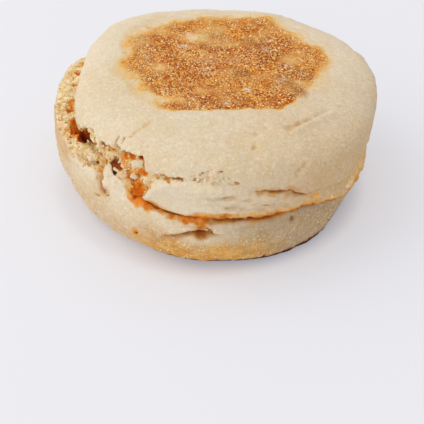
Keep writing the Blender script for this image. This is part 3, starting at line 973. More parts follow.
def paint_heel(ob):
    p, n = points_of(ob)
    x, y, z = p.T
    a, r = heel_angle(x, y), np.hypot(x, y)
    depth = -sample(heel_skin, p)
    w1, w2, w3 = wobble(p, 1.6, 101), wobble(p, 0.8, 102), wobble(p, 6.0, 103)
    cut = split_height(x, y)
    crumb = smooth(0.25, 0.75, depth + 0.12 * w2) * smooth(1.5, 4.0, z)
    # base: griddled brown
    base = (1 - smooth(0.35, 1.3, z + 0.25 * w1)) * smooth(0.2, -0.2, n[:, 2])
    brown = base * (0.9 + 0.1 * w1)
    wall = 1 - crumb
    rim_z = cut - z
    gold = wall * (smooth(3.0, 10.5, rim_z + 1.2 * w3) * 1.0)
    gold = gold * np.interp(a, [-180, -150, -125, -114, -104, -92, -80, -66, -50, 0, 60, 180], [0.45, 0.3, 0.35, 0.6, 1.0, 1.0, 0.8, 0.4, 0.2, 0.25, 0.5, 0.45])
    rosy = wall * smooth(14.0, 3.5, z + 1.0 * w1) * np.interp(a, [-140, -125, -112, -92, -78, -66, -56], [0, 0.25, 0.64, 0.86, 0.74, 0.3, 0.05])
    left = np.where(a > 0, a - 360, a)
    gold = np.maximum(gold, wall * 0.35 * smooth(-146, -168, left) * smooth(-290, -220, left) * smooth(0.0, 3, rim_z))
    gold = np.maximum(gold, wall * 0.2 * smooth(-75, -50, a) * (1 - smooth(20, 60, a)) * smooth(0.0, 3, rim_z))
    gold = np.maximum(gold, wall * 0.62 * smooth(-152, -163, left) * smooth(-250, -195, left) * smooth(9.0, 4.0, rim_z) * smooth(-0.5, 0.5, rim_z))
    # the toasted band along the front rim, under the flap
    over = z - heel_top(x, y)
    inward = lobed(HEEL["belly"], np.radians(a)) - np.abs(lobed(HEEL["rim_inset"], np.radians(a))) - r
    start = np.interp(a, [-124, -120, -117, -114, -111.8, -109.3, -107, -105, -103, -96, -88, -80, -74, -60],
                      [-0.4, -0.1, 0.05, 0.15, 0.5, 0.9, 0.9, 0.72, 0.65, 0.55, 0.45, 0.25, 0.4, 0.1])
    bare = smooth(-0.35, 0.35, inward - start + 0.22 * w2 + 0.1 * w1) * smooth(-1.7, -0.9, over)
    band = smooth(-125.5, -122, a) * (1 - smooth(-92, -87, a)) * smooth(36, 38, r) * bare
    under = smooth(-92, -87, a) * (1 - smooth(-48, -40, a)) * smooth(36, 38, r) * smooth(-0.4, 0.4, inward - start + 0.15 * w2) * smooth(-1.7, -0.9, over) * 0.44
    toast = np.maximum(band * np.interp(a, [-131, -120, -114, -108, -103, -98, -93, -90, -86], [0.6, 0.64, 0.62, 0.6, 0.5, 0.54, 0.7, 0.76, 0.66]) * (0.9 + 0.2 * w2), under)
    toast = np.maximum(toast, 0.9 * band * smooth(1.0, 2.0, over + 0.4 * w1) * np.interp(a, [-131, -112, -104, -86], [0.6, 0.7, 0.8, 0.9]))
    toast = np.maximum(toast, spots(p, [(-19.4, -33.6, 20.6, 2.2, 0.85), (-18.6, -35.6, 20.2, 2.0, 0.75), (-18.6, -36.8, 20.1, 1.4, 0.6), (-16.6, -37.2, 19.6, 1.6, 0.7)]))
    toast = np.maximum(toast, spots(p, [(-38.9, 20.9, 24.0, 1.5, 0.8), (-39.7, 14.6, 24.2, 1.2, 0.75), (-40.4, 6.0, 24.2, 1.6, 0.8),
                                        (-40.6, 2.6, 23.6, 1.5, 0.85), (-37.2, 26.4, 24.2, 1.5, 0.8),
                                        (-35.4, -7.2, 21.8, 5.8, 1.0), (-36.4, -11.6, 22.6, 2.2, 0.95), (-38.8, -3.4, 23.4, 2.0, 0.75), (-28.7, -29.2, 19.6, 1.8, 0.2)]) * crumb)
    toast = np.maximum(toast, 0.2 * crumb * smooth(0.9, 2.0, w1) * smooth(0.4, 1.5, depth))
    toast = np.maximum(toast, 0.55 * rosy)
    dark = band * smooth(1.0, 1.7, w2) * 0.3 + 1.1 * under * smooth(-0.1, 0.7, inward - start)
    dark = np.maximum(dark, spots(p, [(-35.0, -8.6, 20.6, 3.4, 0.92), (-1.9, -42.9, 14.0, 2.3, 0.72), (-36.0, -11.4, 21.4, 1.6, 0.55), (-40.4, 2.4, 22.8, 0.9, 0.5),
                     (-2.1, -41.9, 13.8, 1.7, 0.55), (-0.4, -42.0, 13.5, 1.3, 0.4), (-3.8, -42.4, 13.8, 1.3, 0.35), (-19.9, -37.9, 10.1, 0.6, 0.7), (23.3, -35.2, 13.0, 0.8, 0.6)]))
    toast = np.maximum(toast, spots(p, [(-1.9, -43.0, 14.2, 2.8, 0.5), (-3.5, -42.4, 14.0, 1.5, 0.42), (-1.8, -42.2, 13.9, 1.7, 0.62), (0.6, -42.4, 13.5, 1.3, 0.4),
                                        (-19.9, -38.2, 10.1, 2.0, 0.45), (-20.4, -37.6, 11.5, 1.4, 0.3)]))
    dark = np.maximum(dark, smooth(0.5, 1.1, depth) * spots(p, [(-25.9, -28.6, 24.8, 2.4, 0.9)]))
    nick = line_near(p, [(-29.9, -24.8, 24.5), (-29.6, -26.0, 22.6), (-29.4, -27.2, 20.6), (-28.8, -28.6, 18.9), (-28.1, -30.2, 18.0)])
    toast = np.maximum(toast, (0.31 + 0.06 * w2) * (1 - smooth(1.1, 2.3, nick)) * (0.3 + 0.7 * smooth(0.05, 0.45, depth)))
    fold = line_near(p, [(-13.6, -42.0, 12.6), (-11.7, -42.7, 12.8), (-9.8, -42.3, 12.5), (-7.6, -42.8, 12.9), (-5.6, -42.8, 13.4), (-4.0, -42.6, 13.9), (-2.1, -41.9, 13.9), (-0.4, -42.0, 13.6), (1.4, -42.3, 13.5)])
    toast = np.maximum(toast, (0.30 + 0.08 * w2) * (1 - smooth(0.6, 1.7, fold)) * smooth(-14.5, -8.0, x))
    dark = np.maximum(dark, (1 - smooth(0.2, 0.8, fold)) * np.interp(x, [-14, -9, -4, 1.5], [0.0, 0.22, 0.48, 0.42]))
    gold = np.maximum(gold, spots(p, [(-8.0, -42.6, 13.4, 2.2, 0.5), (-4.5, -42.8, 14.2, 1.8, 0.6), (-28.7, -30.0, 18.4, 2.4, 0.6), (-31.0, -28.6, 16.0, 1.4, 0.25)]))
    hollow = crevice(p, n, (heel_f, crown_f)) * smooth(0.8, 2.0, z)
    grit = wall * smooth(2.5, 9.0, rim_z + 1.5 * w3) * np.interp(a, [-180, -140, -115, -100, -90, -50, 110, 180], [0.15, 0.15, 0.3, 0.8, 0.9, 0.8, 0.5, 0.15])
    grit = np.maximum(grit, 0.55 * wall * smooth(-80, -55, a) * smooth(110, 80, a) * smooth(0.5, 3.0, rim_z))
    grit = np.maximum(grit, 0.12 * wall)
    dark = np.maximum(dark, smooth(2.5, 1.5, z + 0.25 * w2) * np.interp(a, [-180, -135, -118, -104, -92, -76, -45, -32, 0, 40, 180], [0.25, 0.3, 0.5, 0.75, 0.85, 1.0, 1.0, 0.6, 0.5, 0.4, 0.25]))
    # pale puffy rim and tongue
    pale = smooth(2.2, 0.2, np.abs(rim_z + 0.6)) * wall * smooth(-185, -160, a) * (1 - smooth(-115, -100, a)) * 0.8
    pale = np.maximum(pale, 0.6 * smooth(-138, -134, a) * (1 - smooth(-127, -121, a)) * smooth(4.0, 0.0, rim_z))
    pale = np.maximum(pale, 0.35 * smooth(0.6, 1.6, w1) * crumb)
    set_layer(ob, "crumb", crumb)
    set_layer(ob, "brown", brown)
    set_layer(ob, "toast", toast)
    set_layer(ob, "dark", dark)
    set_layer(ob, "gold", gold)
    set_layer(ob, "pale", pale)
    set_layer(ob, "flour", 0 * x)
    set_layer(ob, "burnt", smooth(2.1, 1.2, z + 0.2 * w2) * np.interp(a, [-180, -128, -112, -98, -86, -76, -45, -32, 0, 40, 180], [0, 0, 0.25, 0.55, 0.75, 0.95, 0.95, 0.5, 0.25, 0.1, 0.0])
              + smooth(0.4, 1.0, depth) * spots(p, [(-25.9, -28.6, 25.4, 2.4, 0.25), (-34.6, -8.8, 20.0, 2.2, 0.2)]))
    set_layer(ob, "grit", grit)
    set_layer(ob, "hollow", hollow + (0.9 * smooth(0.55, 1.0, hollow) - hollow) * crumb * smooth(-170, -160, a) * (1 - smooth(-116, -110, a)) * smooth(34, 36, r))
    set_layer(ob, "tan", wall * smooth(-100, -62, a) * (1 - smooth(30, 80, a)) * (0.8 + 0.3 * smooth(0.5, 4.0, rim_z)))


def paint_crown(ob):
    p, n = points_of(ob)
    x, y, z = p.T
    a = crown_angle(x, y)
    r = np.hypot(x - STACK["x"], y - STACK["y"])
    depth = -sample(crown_skin, p)
    w1, w2, w3, w4 = wobble(p, 1.6, 111), wobble(p, 0.8, 112), wobble(p, 6.0, 113), wobble(p, 3.0, 114)
    low = z - (split_height(x, y) + split_gap(x - STACK["x"], y - STACK["y"]) + flap_lift(x, y))
    crumb = smooth(0.25, 0.7, depth + 0.1 * w2)
    # griddled face: soft at the left, sharp along the front
    d = outline_distance(PATCH, x, y)
    soft = np.interp(np.degrees(np.arctan2(y - 8.4, x - 6)), [-180, -150, -128, -118, -60, -40, 0, 60, 120, 150, 180],
                     [3.4, 3.2, 1.6, 0.3, 0.35, 1.7, 2.0, 1.5, 1.8, 2.8, 3.4])
    edge = d + (0.2 * w1 + 0.12 * w2) * np.clip(soft, 0.3, 1.0) + 0.35 * w4 * np.clip(soft - 0.8, 0, 2)
    brown = np.clip(0.5 - 0.5 * edge / soft, 0, 1) * smooth(28, 33, z) * (1 - crumb)
    brown = brown * (0.95 + 0.08 * w4) * (1 - 0.14 * smooth(-4, -20, x)) * (1 - 0.08 * smooth(12, 22, y))
    # a pale strip just inside the front left edge
    strip = spots(p, [(-16.0, -13.2, 38.6, 2.4, 0.7), (-13.4, -14.0, 38.6, 2.4, 0.8), (-10.4, -14.2, 38.6, 2.2, 0.8), (-7.6, -14.6, 38.5, 2.0, 0.6), (-20.5, -5.6, 38.4, 2.4, 0.35)])
    brown = brown * (1 - 0.62 * strip)
    flour = spots(p, [(-5.3, 21.9, 37.1, 2.6, 0.6), (-7.3, 16.4, 36.9, 1.9, 0.7), (17.1, 16.2, 36.2, 1.5, 1.0), (11.2, -7.2, 37.4, 1.7, 0.7), (18.4, 20.5, 36.0, 1.4, 0.6),
                      (22.4, 7.0, 36.5, 2.2, 0.5), (21.4, -1.2, 36.9, 2.6, 0.4), (5.2, -14.0, 37.6, 1.6, 0.55), (-0.5, 2.4, 37.8, 3.0, 0.25), (0.0, 8.9, 37.6, 3.4, 0.25), (7.5, 8.4, 37.4, 3.0, 0.2)])
    rust = spots(p, [(11.9, 20.2, 36.4, 2.4, 0.42), (14.8, 17.7, 36.3, 2.4, 0.5), (16.6, 16.0, 36.2, 1.8, 0.3), (10.4, 1.5, 37.2, 2.2, 0.6), (8.6, 1.4, 37.2, 1.5, 0.4),
                     (1.5, -15.4, 38.0, 2.8, 0.3), (9.7, -14.2, 37.6, 2.8, 0.4), (23.4, -4.4, 37.0, 3.2, 0.38), (26.1, -8.2, 37.0, 2.6, 0.5), (20.7, -0.6, 36.9, 2.6, 0.25),
                     (-18.6, 19.4, 37.8, 3.0, 0.22), (-0.6, 16.9, 37.2, 3.4, 0.2), (28.0, 2.4, 36.5, 3.0, 0.3), (3.0, 24.4, 36.8, 3.0, 0.2)])
    warm = spots(p, [(-8.2, -17.8, 38.8, 1.5, 0.65), (-10.4, -18.0, 38.7, 1.4, 0.35), (-15.5, -5.6, 38.3, 3.0, 0.25), (14.0, -14.8, 37.5, 3.0, 0.35)])
    # toast: the lower lip all round, stronger at the right and under the flap
    lip = smooth(2.3, 0.1, (low + 0.3 * w1) * np.interp(a, [-121, -112, -100, -90, -82, -58, -48, 60, 120], [1.6, 1.2, 1.05, 0.85, 0.68, 0.68, 1.0, 1.0, 1.5])) * (1 - smooth(3.0, 6.0, depth))
    toast = lip * np.interp(a, [-180, -120, -112, -98, -90, -60, -36, -20, 0, 40, 100, 180], [0.1, 0.35, 0.6, 0.8, 0.84, 0.62, 0.54, 0.46, 0.42, 0.4, 0.3, 0.1])
    rim = chart(RIM, np.radians(a) * 42.0, z)
    lit = np.interp(a, [-60, -57, -48, -46, -36, -33, -30, -10, 10, 24], [0.34, 0.38, 0.38, 0.34, 0.32, 0.3, 0.34, 0.45, 0.45, 0.3])
    toast = np.maximum(toast, lit * smooth(0.3, -0.2, rim + 0.12 * w1) * (0.9 + 0.2 * w2) * smooth(-66, -56, a)
                       * np.maximum(smooth(2.2, 0.6, low + 0.3 * w2), np.interp(a, [-58, -56, -48, -44, -33, -27, -20, 24], [0.2, 1, 1, 0.1, 0.1, 0.8, 0.6, 0.5])))
    toast = np.maximum(toast, warm)
    toast = np.maximum(toast, crumb * spots(p, [(-20.9, -32.2, 31.9, 1.6, 0.95), (-18.0, -34.2, 32.2, 1.4, 0.95), (-25.5, -29.2, 26.2, 2.6, 1.0), (-21.4, -30.6, 28.6, 2.2, 0.5), (-22.6, -29.2, 26.4, 1.8, 0.35),
                                                (-17.4, -35.8, 29.2, 1.3, 0.9), (-18.4, -34.4, 28.2, 1.4, 0.55), (-25.2, -26.6, 32.0, 1.8, 0.35), (-11.0, -40.0, 30.0, 1.6, 0.5),
                                                (-8.0, -40.6, 30.6, 1.4, 0.4), (-18.6, -33.2, 22.6, 3.4, 0.7), (-34.8, -13.0, 26.5, 2.6, 0.5)]))
    toast = np.maximum(toast, 0.3 * crumb * smooth(0.8, 1.8, w1))
    wash = spots(p, [(-26.3, -27.4, 30.6, 2.2, 0.5), (-24.1, -29.2, 31.2, 2.3, 0.4), (-22.0, -31.0, 31.4, 1.7, 0.62), (-17.5, -35.4, 24.6, 1.8, 0.5), (-17.4, -35.8, 26.6, 1.4, 0.4), (-21.3, -33.2, 28.2, 3.2, 0.46), (-20.4, -33.6, 26.0, 3.0, 0.44), (-19.6, -34.0, 24.0, 2.6, 0.5), (-22.4, -31.8, 30.2, 2.4, 0.4), (-26.6, -27.6, 33.0, 2.4, 0.26),
                     (-24.0, -30.2, 33.0, 2.0, 0.3), (-29.6, -24.6, 31.4, 2.4, 0.2), (-14.4, -38.6, 28.9, 2.4, 0.34), (-17.0, -36.6, 28.0, 2.0, 0.25)])
    toast = np.maximum(toast, crumb * wash * (0.85 + 0.35 * w1))
    toast = np.maximum(toast, (a < -117.2) * spots(p, [(-23.8, -31.8, 24.9, 2.0, 0.2), (-22.6, -32.6, 24.4, 2.0, 0.26), (-20.8, -34.0, 21.6, 2.0, 0.74), (-19.9, -34.8, 20.6, 1.8, 0.74), (-21.6, -33.6, 22.8, 1.6, 0.5), (-18.6, -35.4, 29.6, 1.7, 0.8)]))
    toast = toast * (1 - 0.95 * spots(p, [(-19.3, -35.4, 32.0, 1.9, 1.0)]))
    for line in CRACKS:
        toast = np.maximum(toast, 0.07 * (1 - smooth(0.2, 0.5, line_near(p, line))))
    dark = crumb * spots(p, [(-25.5, -29.2, 26.4, 2.8, 0.95), (-20.6, -31.8, 32.8, 0.9, 0.7), (-18.2, -33.8, 33.0, 0.8, 0.75), (-11.2, -39.2, 30.2, 1.0, 0.35),
                             (-25.4, -28.2, 31.6, 1.8, 0.3), (-23.2, -30.0, 32.2, 1.8, 0.35)])
    dark = np.maximum(dark, spots(p, [(25.6, -34.6, 19.2, 1.5, 0.4), (24.2, -35.6, 18.2, 1.4, 0.3)]))
    dark = np.maximum(dark, rust)
    dark = np.maximum(dark, 0.28 * smooth(0.9, 0.2, low + 0.2 * w1) * smooth(-116, -108, a) * (1 - smooth(-90, -84, a)))
    dark = np.maximum(dark, 0.62 * smooth(np.interp(a, [-60, -45], [1.9, 1.1]), 0.2, low + 0.25 * w1) * smooth(-92, -82, a) * (1 - smooth(-34, -24, a)) * (1 - smooth(3.0, 6.0, depth)))
    flap = smooth(-119, -112, a) * (1 - smooth(-62, -50, a)) * smooth(32, 28, z)
    pale = spots(p, [(-19.2, -35.2, 32.0, 2.3, 1.0), (0.6, -41.0, 31.6, 7.5, 1.0), (-4.5, -41.5, 31.0, 4.0, 0.9), (-13.6, -36.8, 28.2, 1.5, 0.7)])
    pale = np.maximum(pale * crumb, 0.5 * smooth(0.7, 1.7, w1) * crumb)
    pale = np.maximum(pale, (1 - crumb) * 0.6 * flap)
    pale = np.maximum(pale, (1 - crumb) * 0.6 * smooth(2.5, 0.6, low) * np.interp(a, [-180, -120, -100, 100, 150, 180], [1, 0.6, 0, 0, 0.7, 1]))
    pale = np.maximum(pale, (1 - crumb) * 0.4 * smooth(-8, 15, y) * smooth(31, 35, z))
    gold = (1 - crumb) * 0.35 * smooth(1.6, 0.2, np.abs(d - 1.5 + w4)) * smooth(30, 33, z) * np.interp(soft, [0.3, 1.5, 3], [0, 0.4, 1.0])
    crease = 1 - smooth(0.3, 0.85, line_near(p, CREASE) + 0.15 * w2)
    toast = np.maximum(toast, crease * np.interp(a, [-76, -73, -70, -64, -58, -50, -36, -26], [0.0, 0.2, 0.36, 0.36, 0.3, 0.3, 0.16, 0.08]))
    dark = np.maximum(dark, (1 - smooth(0.15, 0.5, line_near(p, CREASE))) * np.interp(a, [-76, -73, -58, -52, -46, -40, -30, -26], [0.0, 0.3, 0.4, 0.34, 0.34, 0.42, 0.36, 0.05]))
    gold = np.maximum(gold, 0.6 * (1 - smooth(0.5, 1.7, line_near(p, CREASE[:8]) + 0.4 * w2)))
    hollow = crevice(p, n, (heel_f, crown_f)) * (1 - 0.7 * brown)
    grit = 0.04 + 0.12 * flap + 0.10 * smooth(-75, -45, a) * smooth(150, 110, a) * smooth(37.5, 34, z)
    grit = grit * (1 - crumb) * (1 - brown)
    gold = np.maximum(gold, spots(p, [(26.2, -35.3, 31.1, 1.0, 0.6), (24.8, -36.2, 30.3, 0.8, 0.4), (23.9, -37.0, 28.8, 0.7, 0.3), (22.2, -25.9, 37.2, 1.6, 0.5), (25.0, -23.6, 36.7, 1.4, 0.5),
                                      (27.4, -21.5, 36.4, 1.2, 0.35), (-17.2, -26.2, 38.3, 1.0, 0.3), (-20.0, -28.4, 37.0, 1.0, 0.3),
                                      (-24.6, -28.1, 34.9, 0.8, 0.3), (12.7, -33.2, 35.6, 0.9, 0.5), (13.0, -28.5, 36.7, 1.0, 0.3)]))
    set_layer(ob, "crumb", crumb)
    set_layer(ob, "brown", brown)
    set_layer(ob, "toast", toast)
    set_layer(ob, "dark", dark)
    set_layer(ob, "gold", gold)
    set_layer(ob, "pale", pale)
    set_layer(ob, "flour", flour)
    set_layer(ob, "grit", grit)
    bite = crumb * smooth(-170, -160, a) * (1 - smooth(-84, -78, a))
    set_layer(ob, "hollow", hollow + (0.9 * smooth(0.55, 1.0, hollow) - hollow) * bite)
    set_layer(ob, "burnt", crumb * spots(p, [(-25.6, -28.7, 26.6, 2.6, 0.25), (-25.7, -30.2, 25.6, 1.6, 0.15)]))
    side = smooth(-100, -40, a) * (1 - smooth(30, 70, a)) * (1 - 0.8 * smooth(-2, 22, y)) * (1 - 0.3 * smooth(-32, -18, a))
    set_layer(ob, "tan", (1 - crumb) * side * (0.35 + 0.65 * smooth(36, 26, z) + 0.36 * smooth(27, 18, z)) * (1 - brown) * 1.1)
    return brown


paint_heel(heel)
paint_crown(crown)
heel.data.materials.clear()
crown.data.materials.clear()
heel.data.materials.append(bread("heel_bread", (197, 140, 70), (222, 216, 209)))
crown.data.materials.append(bread("crown_bread", (208, 158, 90), (238, 224, 207)))

# ------------------------------------------------------------------ cornmeal and crumbs
def grain_shapes(seed, count=24, sub=1):
    """Small uneven lumps, each as points round a middle, and their triangles."""
    t = (1 + 5 ** 0.5) / 2
    v = np.array([(-1, t, 0), (1, t, 0), (-1, -t, 0), (1, -t, 0), (0, -1, t), (0, 1, t), (0, -1, -t), (0, 1, -t), (t, 0, -1), (t, 0, 1), (-t, 0, -1), (-t, 0, 1)])
    v /= np.linalg.norm(v, axis=1)[:, None]
    f = np.array([(0, 11, 5), (0, 5, 1), (0, 1, 7), (0, 7, 10), (0, 10, 11), (1, 5, 9), (5, 11, 4), (11, 10, 2), (10, 7, 6), (7, 1, 8),
                  (3, 9, 4), (3, 4, 2), (3, 2, 6), (3, 6, 8), (3, 8, 9), (4, 9, 5), (2, 4, 11), (6, 2, 10), (8, 6, 7), (9, 8, 1)])
    rng = np.random.default_rng(seed)
    return [v * rng.uniform(0.72, 1.18, (12, 1)) * rng.uniform(0.75, 1.25, (1, 3)) for _ in range(count)], f


def scatter(name, places, normals, sizes, seed, sink=0.25):
    shapes, f = grain_shapes(seed)
    rng = np.random.default_rng(seed + 1)
    n = len(places)
    pick = rng.integers(0, len(shapes), n)
    q = rng.standard_normal((n, 4))
    q /= np.linalg.norm(q, axis=1)[:, None]
    w, i, j, k = q.T
    rot = np.stack([1 - 2 * (j * j + k * k), 2 * (i * j - k * w), 2 * (i * k + j * w),
                    2 * (i * j + k * w), 1 - 2 * (i * i + k * k), 2 * (j * k - i * w),
                    2 * (i * k - j * w), 2 * (j * k + i * w), 1 - 2 * (i * i + j * j)], 1).reshape(n, 3, 3)
    base = np.stack(shapes)[pick] * sizes[:, None, None]
    pts = np.einsum("nab,nvb->nva", rot, base) + (places + normals * (sizes * sink)[:, None])[:, None]
    tris = (f[None] + 12 * np.arange(n)[:, None, None]).reshape(-1, 3)
    pts = pts.reshape(-1, 3)
    pts[:, 2] = np.maximum(pts[:, 2], 0.01)
    me = fill_mesh(name, (pts + OFFSET) * MM, tris)
    ob = bpy.data.objects.new(name, me)
    bpy.context.scene.collection.objects.link(ob)
    me.polygons.foreach_set("use_smooth", np.ones(len(me.polygons), bool))
    tint = me.attributes.new("tint", "FLOAT", "POINT")
    tint.data.foreach_set("value", np.repeat(rng.random(n), 12).astype(f32))
    return ob


def pick_places(ob, weight, count, seed):
    """Random places on a mesh, as dense as the weight at its vertices."""
    p, n = points_of(ob)
    tri = np.zeros(len(ob.data.loops), np.int32)
    ob.data.loops.foreach_get("vertex_index", tri)
    tri = tri.reshape(-1, 3)
    v = p[tri]
    area = np.linalg.norm(np.cross(v[:, 1] - v[:, 0], v[:, 2] - v[:, 0]), axis=1) / 2
    w = area * weight[tri].mean(1)
    rng = np.random.default_rng(seed)
    t = rng.choice(len(tri), count, p=w / w.sum())
    u, s = rng.random(count), rng.random(count)
    flip = u + s > 1
    u[flip], s[flip] = 1 - u[flip], 1 - s[flip]
    at = v[t, 0] + u[:, None] * (v[t, 1] - v[t, 0]) + s[:, None] * (v[t, 2] - v[t, 0])
    nn = n[tri[t]].mean(1)
    return at, nn / np.linalg.norm(nn, axis=1)[:, None]


def layer(ob, name):
    v = np.zeros(len(ob.data.vertices), f32)
    ob.data.attributes[name].data.foreach_get("value", v)
    return v


pc, nc = points_of(crown)
ph, nh = points_of(heel)
rng = np.random.default_rng(77)
brown_c = layer(crown, "brown")
clump = np.clip(0.55 + 0.5 * wobble(pc, 3.0, 121), 0.1, 2)
places, normals, sizes = [], [], []
for ob, weight, count, seed, lo, hi in [
        (crown, brown_c * clump, 3800, 201, 0.09, 0.23),
        (crown, (1 - layer(crown, "crumb")) * (1 - brown_c) * smooth(20, 30, pc[:, 2]), 420, 202, 0.07, 0.16),
        (heel, (1 - layer(heel, "crumb")) * (layer(heel, "grit") ** 1.5) * np.clip(0.2 + wobble(ph, 2.6, 122), 0.02, 2) * smooth(1.8, 3.2, ph[:, 2]) * np.interp(np.degrees(np.arctan2(ph[:, 1], ph[:, 0])), [-100, -72, -55, 60, 90], [1.0, 0.6, 0.35, 0.35, 1.0]), 1300, 203, 0.10, 0.27),
        (heel, layer(heel, "brown") * (ph[:, 2] < 1.2), 500, 204, 0.08, 0.2)]:
    at, nn = pick_places(ob, np.clip(weight, 0, None), count, seed)
    places.append(at)
    normals.append(nn)
    sizes.append(lo + (hi - lo) * rng.random(count) ** 2.2)
meal = scatter("cornmeal", np.concatenate(places), np.concatenate(normals), np.concatenate(sizes), 31)

k = Nodes("cornmeal")
tint = k.attr("tint")
c = k.mix(k.step(tint, 0.0, 0.8, 0, 1, False), lin(234, 184, 106), lin(255, 238, 190))
c = k.mix(k.step(k.noise(0.3, 2), 0.4, 0.7, 0, 0.3), c, lin(204, 142, 70))
k.link(c, k.b.inputs["Base Color"])
k.b.inputs["Roughness"].default_value = 0.75
k.b.inputs["Specular IOR Level"].default_value = 0.2
k.b.inputs["Subsurface Weight"].default_value = 0.15
k.b.inputs["Subsurface Radius"].default_value = (0.0006, 0.0004, 0.0002)
k.b.inputs["Subsurface Scale"].default_value = 0.5
n = k.t.nodes.new("ShaderNodeBump")
n.inputs["Strength"].default_value = 0.4
n.inputs["Distance"].default_value = 0.0001
k.t.links.new(k.noise(0.12, 2), n.inputs["Height"])
k.t.links.new(n.outputs[0], k.b.inputs["Normal"])
meal.data.materials.append(k.m)

# loose bits on the torn crumb
places, normals, sizes = [], [], []
for ob, p, count, seed in ((crown, pc, 2600, 211), (heel, ph, 2600, 212)):
    turn = np.degrees(np.arctan2(p[:, 1], p[:, 0]))
    weight = layer(ob, "crumb") * smooth(0.6, 0.3, layer(ob, "hollow")) * (p[:, 2] > 3) * ((turn < -76) | (turn > 90)) * smooth(0.6, 0.35, layer(ob, "toast") + layer(ob, "dark"))
    at, nn = pick_places(ob, weight, count, seed)
    places.append(at)
    normals.append(nn)
    sizes.append(0.10 + 0.28 * rng.random(count) ** 2)
crumbs = scatter("loose_crumbs", np.concatenate(places), np.concatenate(normals), np.concatenate(sizes), 41, 0.1)
k = Nodes("loose_crumbs")
tint = k.attr("tint")
c = k.mix(k.step(tint, 0.0, 0.45), lin(214, 150, 70), lin(240, 206, 140))
c = k.mix(k.step(tint, 0.45, 0.8), c, lin(254, 244, 216))
k.link(c, k.b.inputs["Base Color"])
k.b.inputs["Roughness"].default_value = 0.9
k.b.inputs["Specular IOR Level"].default_value = 0.1
crumbs.data.materials.append(k.m)

for piece, node, slot in ((heel, "bottom_half", "heel_bread"), (crown, "top_half", "crown_bread")):
    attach(piece, "root")
    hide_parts(node)
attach(meal, "root")
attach(crumbs, "root")

# ------------------------------------------------------------------ floor, light and camera
floor_me = bpy.data.meshes.new("floor")
floor_me.from_pydata([(-3, -3, 0), (3, -3, 0), (3, 3, 0), (-3, 3, 0)], [], [(0, 1, 2, 3)])
floor = bpy.data.objects.new("floor", floor_me)
bpy.context.scene.collection.objects.link(floor)
k = Nodes("floor")
split = k.t.nodes.new("ShaderNodeSeparateXYZ")
k.t.links.new(k.where, split.inputs[0])
side = k.math("ADD", split.outputs[0], k.math("MULTIPLY", split.outputs[1], -0.35))
side = k.step(side, -0.06, 0.12)
c = k.mix(side, (0.50, 0.50, 0.505, 1), (0.46, 0.46, 0.468, 1))
k.link(c, k.b.inputs["Base Color"])
dx = k.math("DIVIDE", k.math("ADD", split.outputs[0], 0.0020), 1.03)
dy = k.math("ADD", split.outputs[1], 0.0004)
away = k.math("POWER", k.math("ADD", k.math("MULTIPLY", dx, dx), k.math("MULTIPLY", dy, dy)), 0.5)
near = k.step(away, 0.0465, 0.0405, 0, 1)
near = k.math("MULTIPLY", near, k.step(side, 0.2, 0.8, 0.35, 0.8, False))
glow = k.mix(side, (0.94, 0.935, 1.0, 1), (1.02, 1.02, 1.09, 1))
k.link(k.mix(near, glow, (0.46, 0.46, 0.53, 1)), k.b.inputs["Emission Color"])
k.b.inputs["Roughness"].default_value = 0.6
k.b.inputs["Specular IOR Level"].default_value = 0.1
k.b.inputs["Emission Strength"].default_value = 0.375
floor_me.materials.append(k.m)

world = bpy.data.worlds.new("studio")
bpy.context.scene.world = world
world.use_nodes = True
wt = world.node_tree
bg = wt.nodes["Background"]
bg.inputs["Strength"].default_value = 0.86
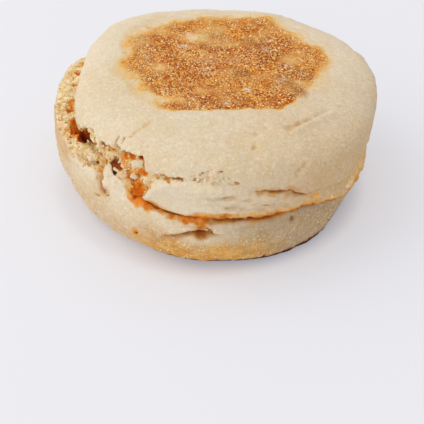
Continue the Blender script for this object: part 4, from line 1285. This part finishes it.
# a bright studio, a little dimmer low on the right
where = wt.nodes.new("ShaderNodeTexCoord").outputs["Generated"]
axis = wt.nodes.new("ShaderNodeVectorMath")
axis.operation = "DOT_PRODUCT"
axis.inputs[1].default_value = (0.86, -0.10, -0.50)
wt.links.new(where, axis.inputs[0])
fall = wt.nodes.new("ShaderNodeMapRange")
fall.interpolation_type = "SMOOTHSTEP"
for key, v in (("From Min", 0.0), ("From Max", 0.9), ("To Min", 0.0), ("To Max", 1.0)):
    fall.inputs[key].default_value = v
wt.links.new(axis.outputs["Value"], fall.inputs["Value"])
tone = wt.nodes.new("ShaderNodeMix")
tone.data_type = "RGBA"
tone.inputs["A"].default_value = (0.975, 0.975, 1.0, 1.0)
tone.inputs["B"].default_value = (0.38, 0.38, 0.42, 1.0)
wt.links.new(fall.outputs["Result"], tone.inputs["Factor"])
wt.links.new(tone.outputs["Result"], bg.inputs["Color"])


def area_light(name, at, aim, size, power, colour):
    data = bpy.data.lights.new(name, "AREA")
    data.shape = "RECTANGLE"
    data.size, data.size_y = size
    data.energy = power
    data.color = colour
    ob = bpy.data.objects.new(name, data)
    bpy.context.scene.collection.objects.link(ob)
    ob.location = at
    ob.rotation_euler = (Vector(aim) - Vector(at)).to_track_quat("-Z", "Y").to_euler()
    return ob


area_light("key", (-0.55, 0.05, 0.62), (0, 0, 0.02), (0.7, 0.7), 1.7, (1.0, 0.99, 0.98))
area_light("front_fill", (-0.15, -0.75, 0.45), (0, 0, 0.02), (0.6, 0.5), 0.5, (1.0, 0.99, 0.98))

bpy.context.scene.view_settings.view_transform = "Standard"
bpy.context.scene.view_settings.look = "None"

PITCH, DISTANCE, TARGET = math.radians(37.13), 520.0, np.array([1.11, -15.28, 0.0])
forward = np.array([0, math.cos(PITCH), -math.sin(PITCH)])
cam_data = bpy.data.cameras.new("camera")
cam_data.sensor_width = 36.0
cam_data.lens = 36.0 * 3.42 * DISTANCE / 424.0
camera = bpy.data.objects.new("camera", cam_data)
bpy.context.scene.collection.objects.link(camera)
camera.location = (TARGET - DISTANCE * forward + OFFSET) * MM
camera.rotation_euler = (math.radians(90) - PITCH, 0, 0)
cam_data.clip_start, cam_data.clip_end = 0.02, 20
bpy.context.scene.camera = camera
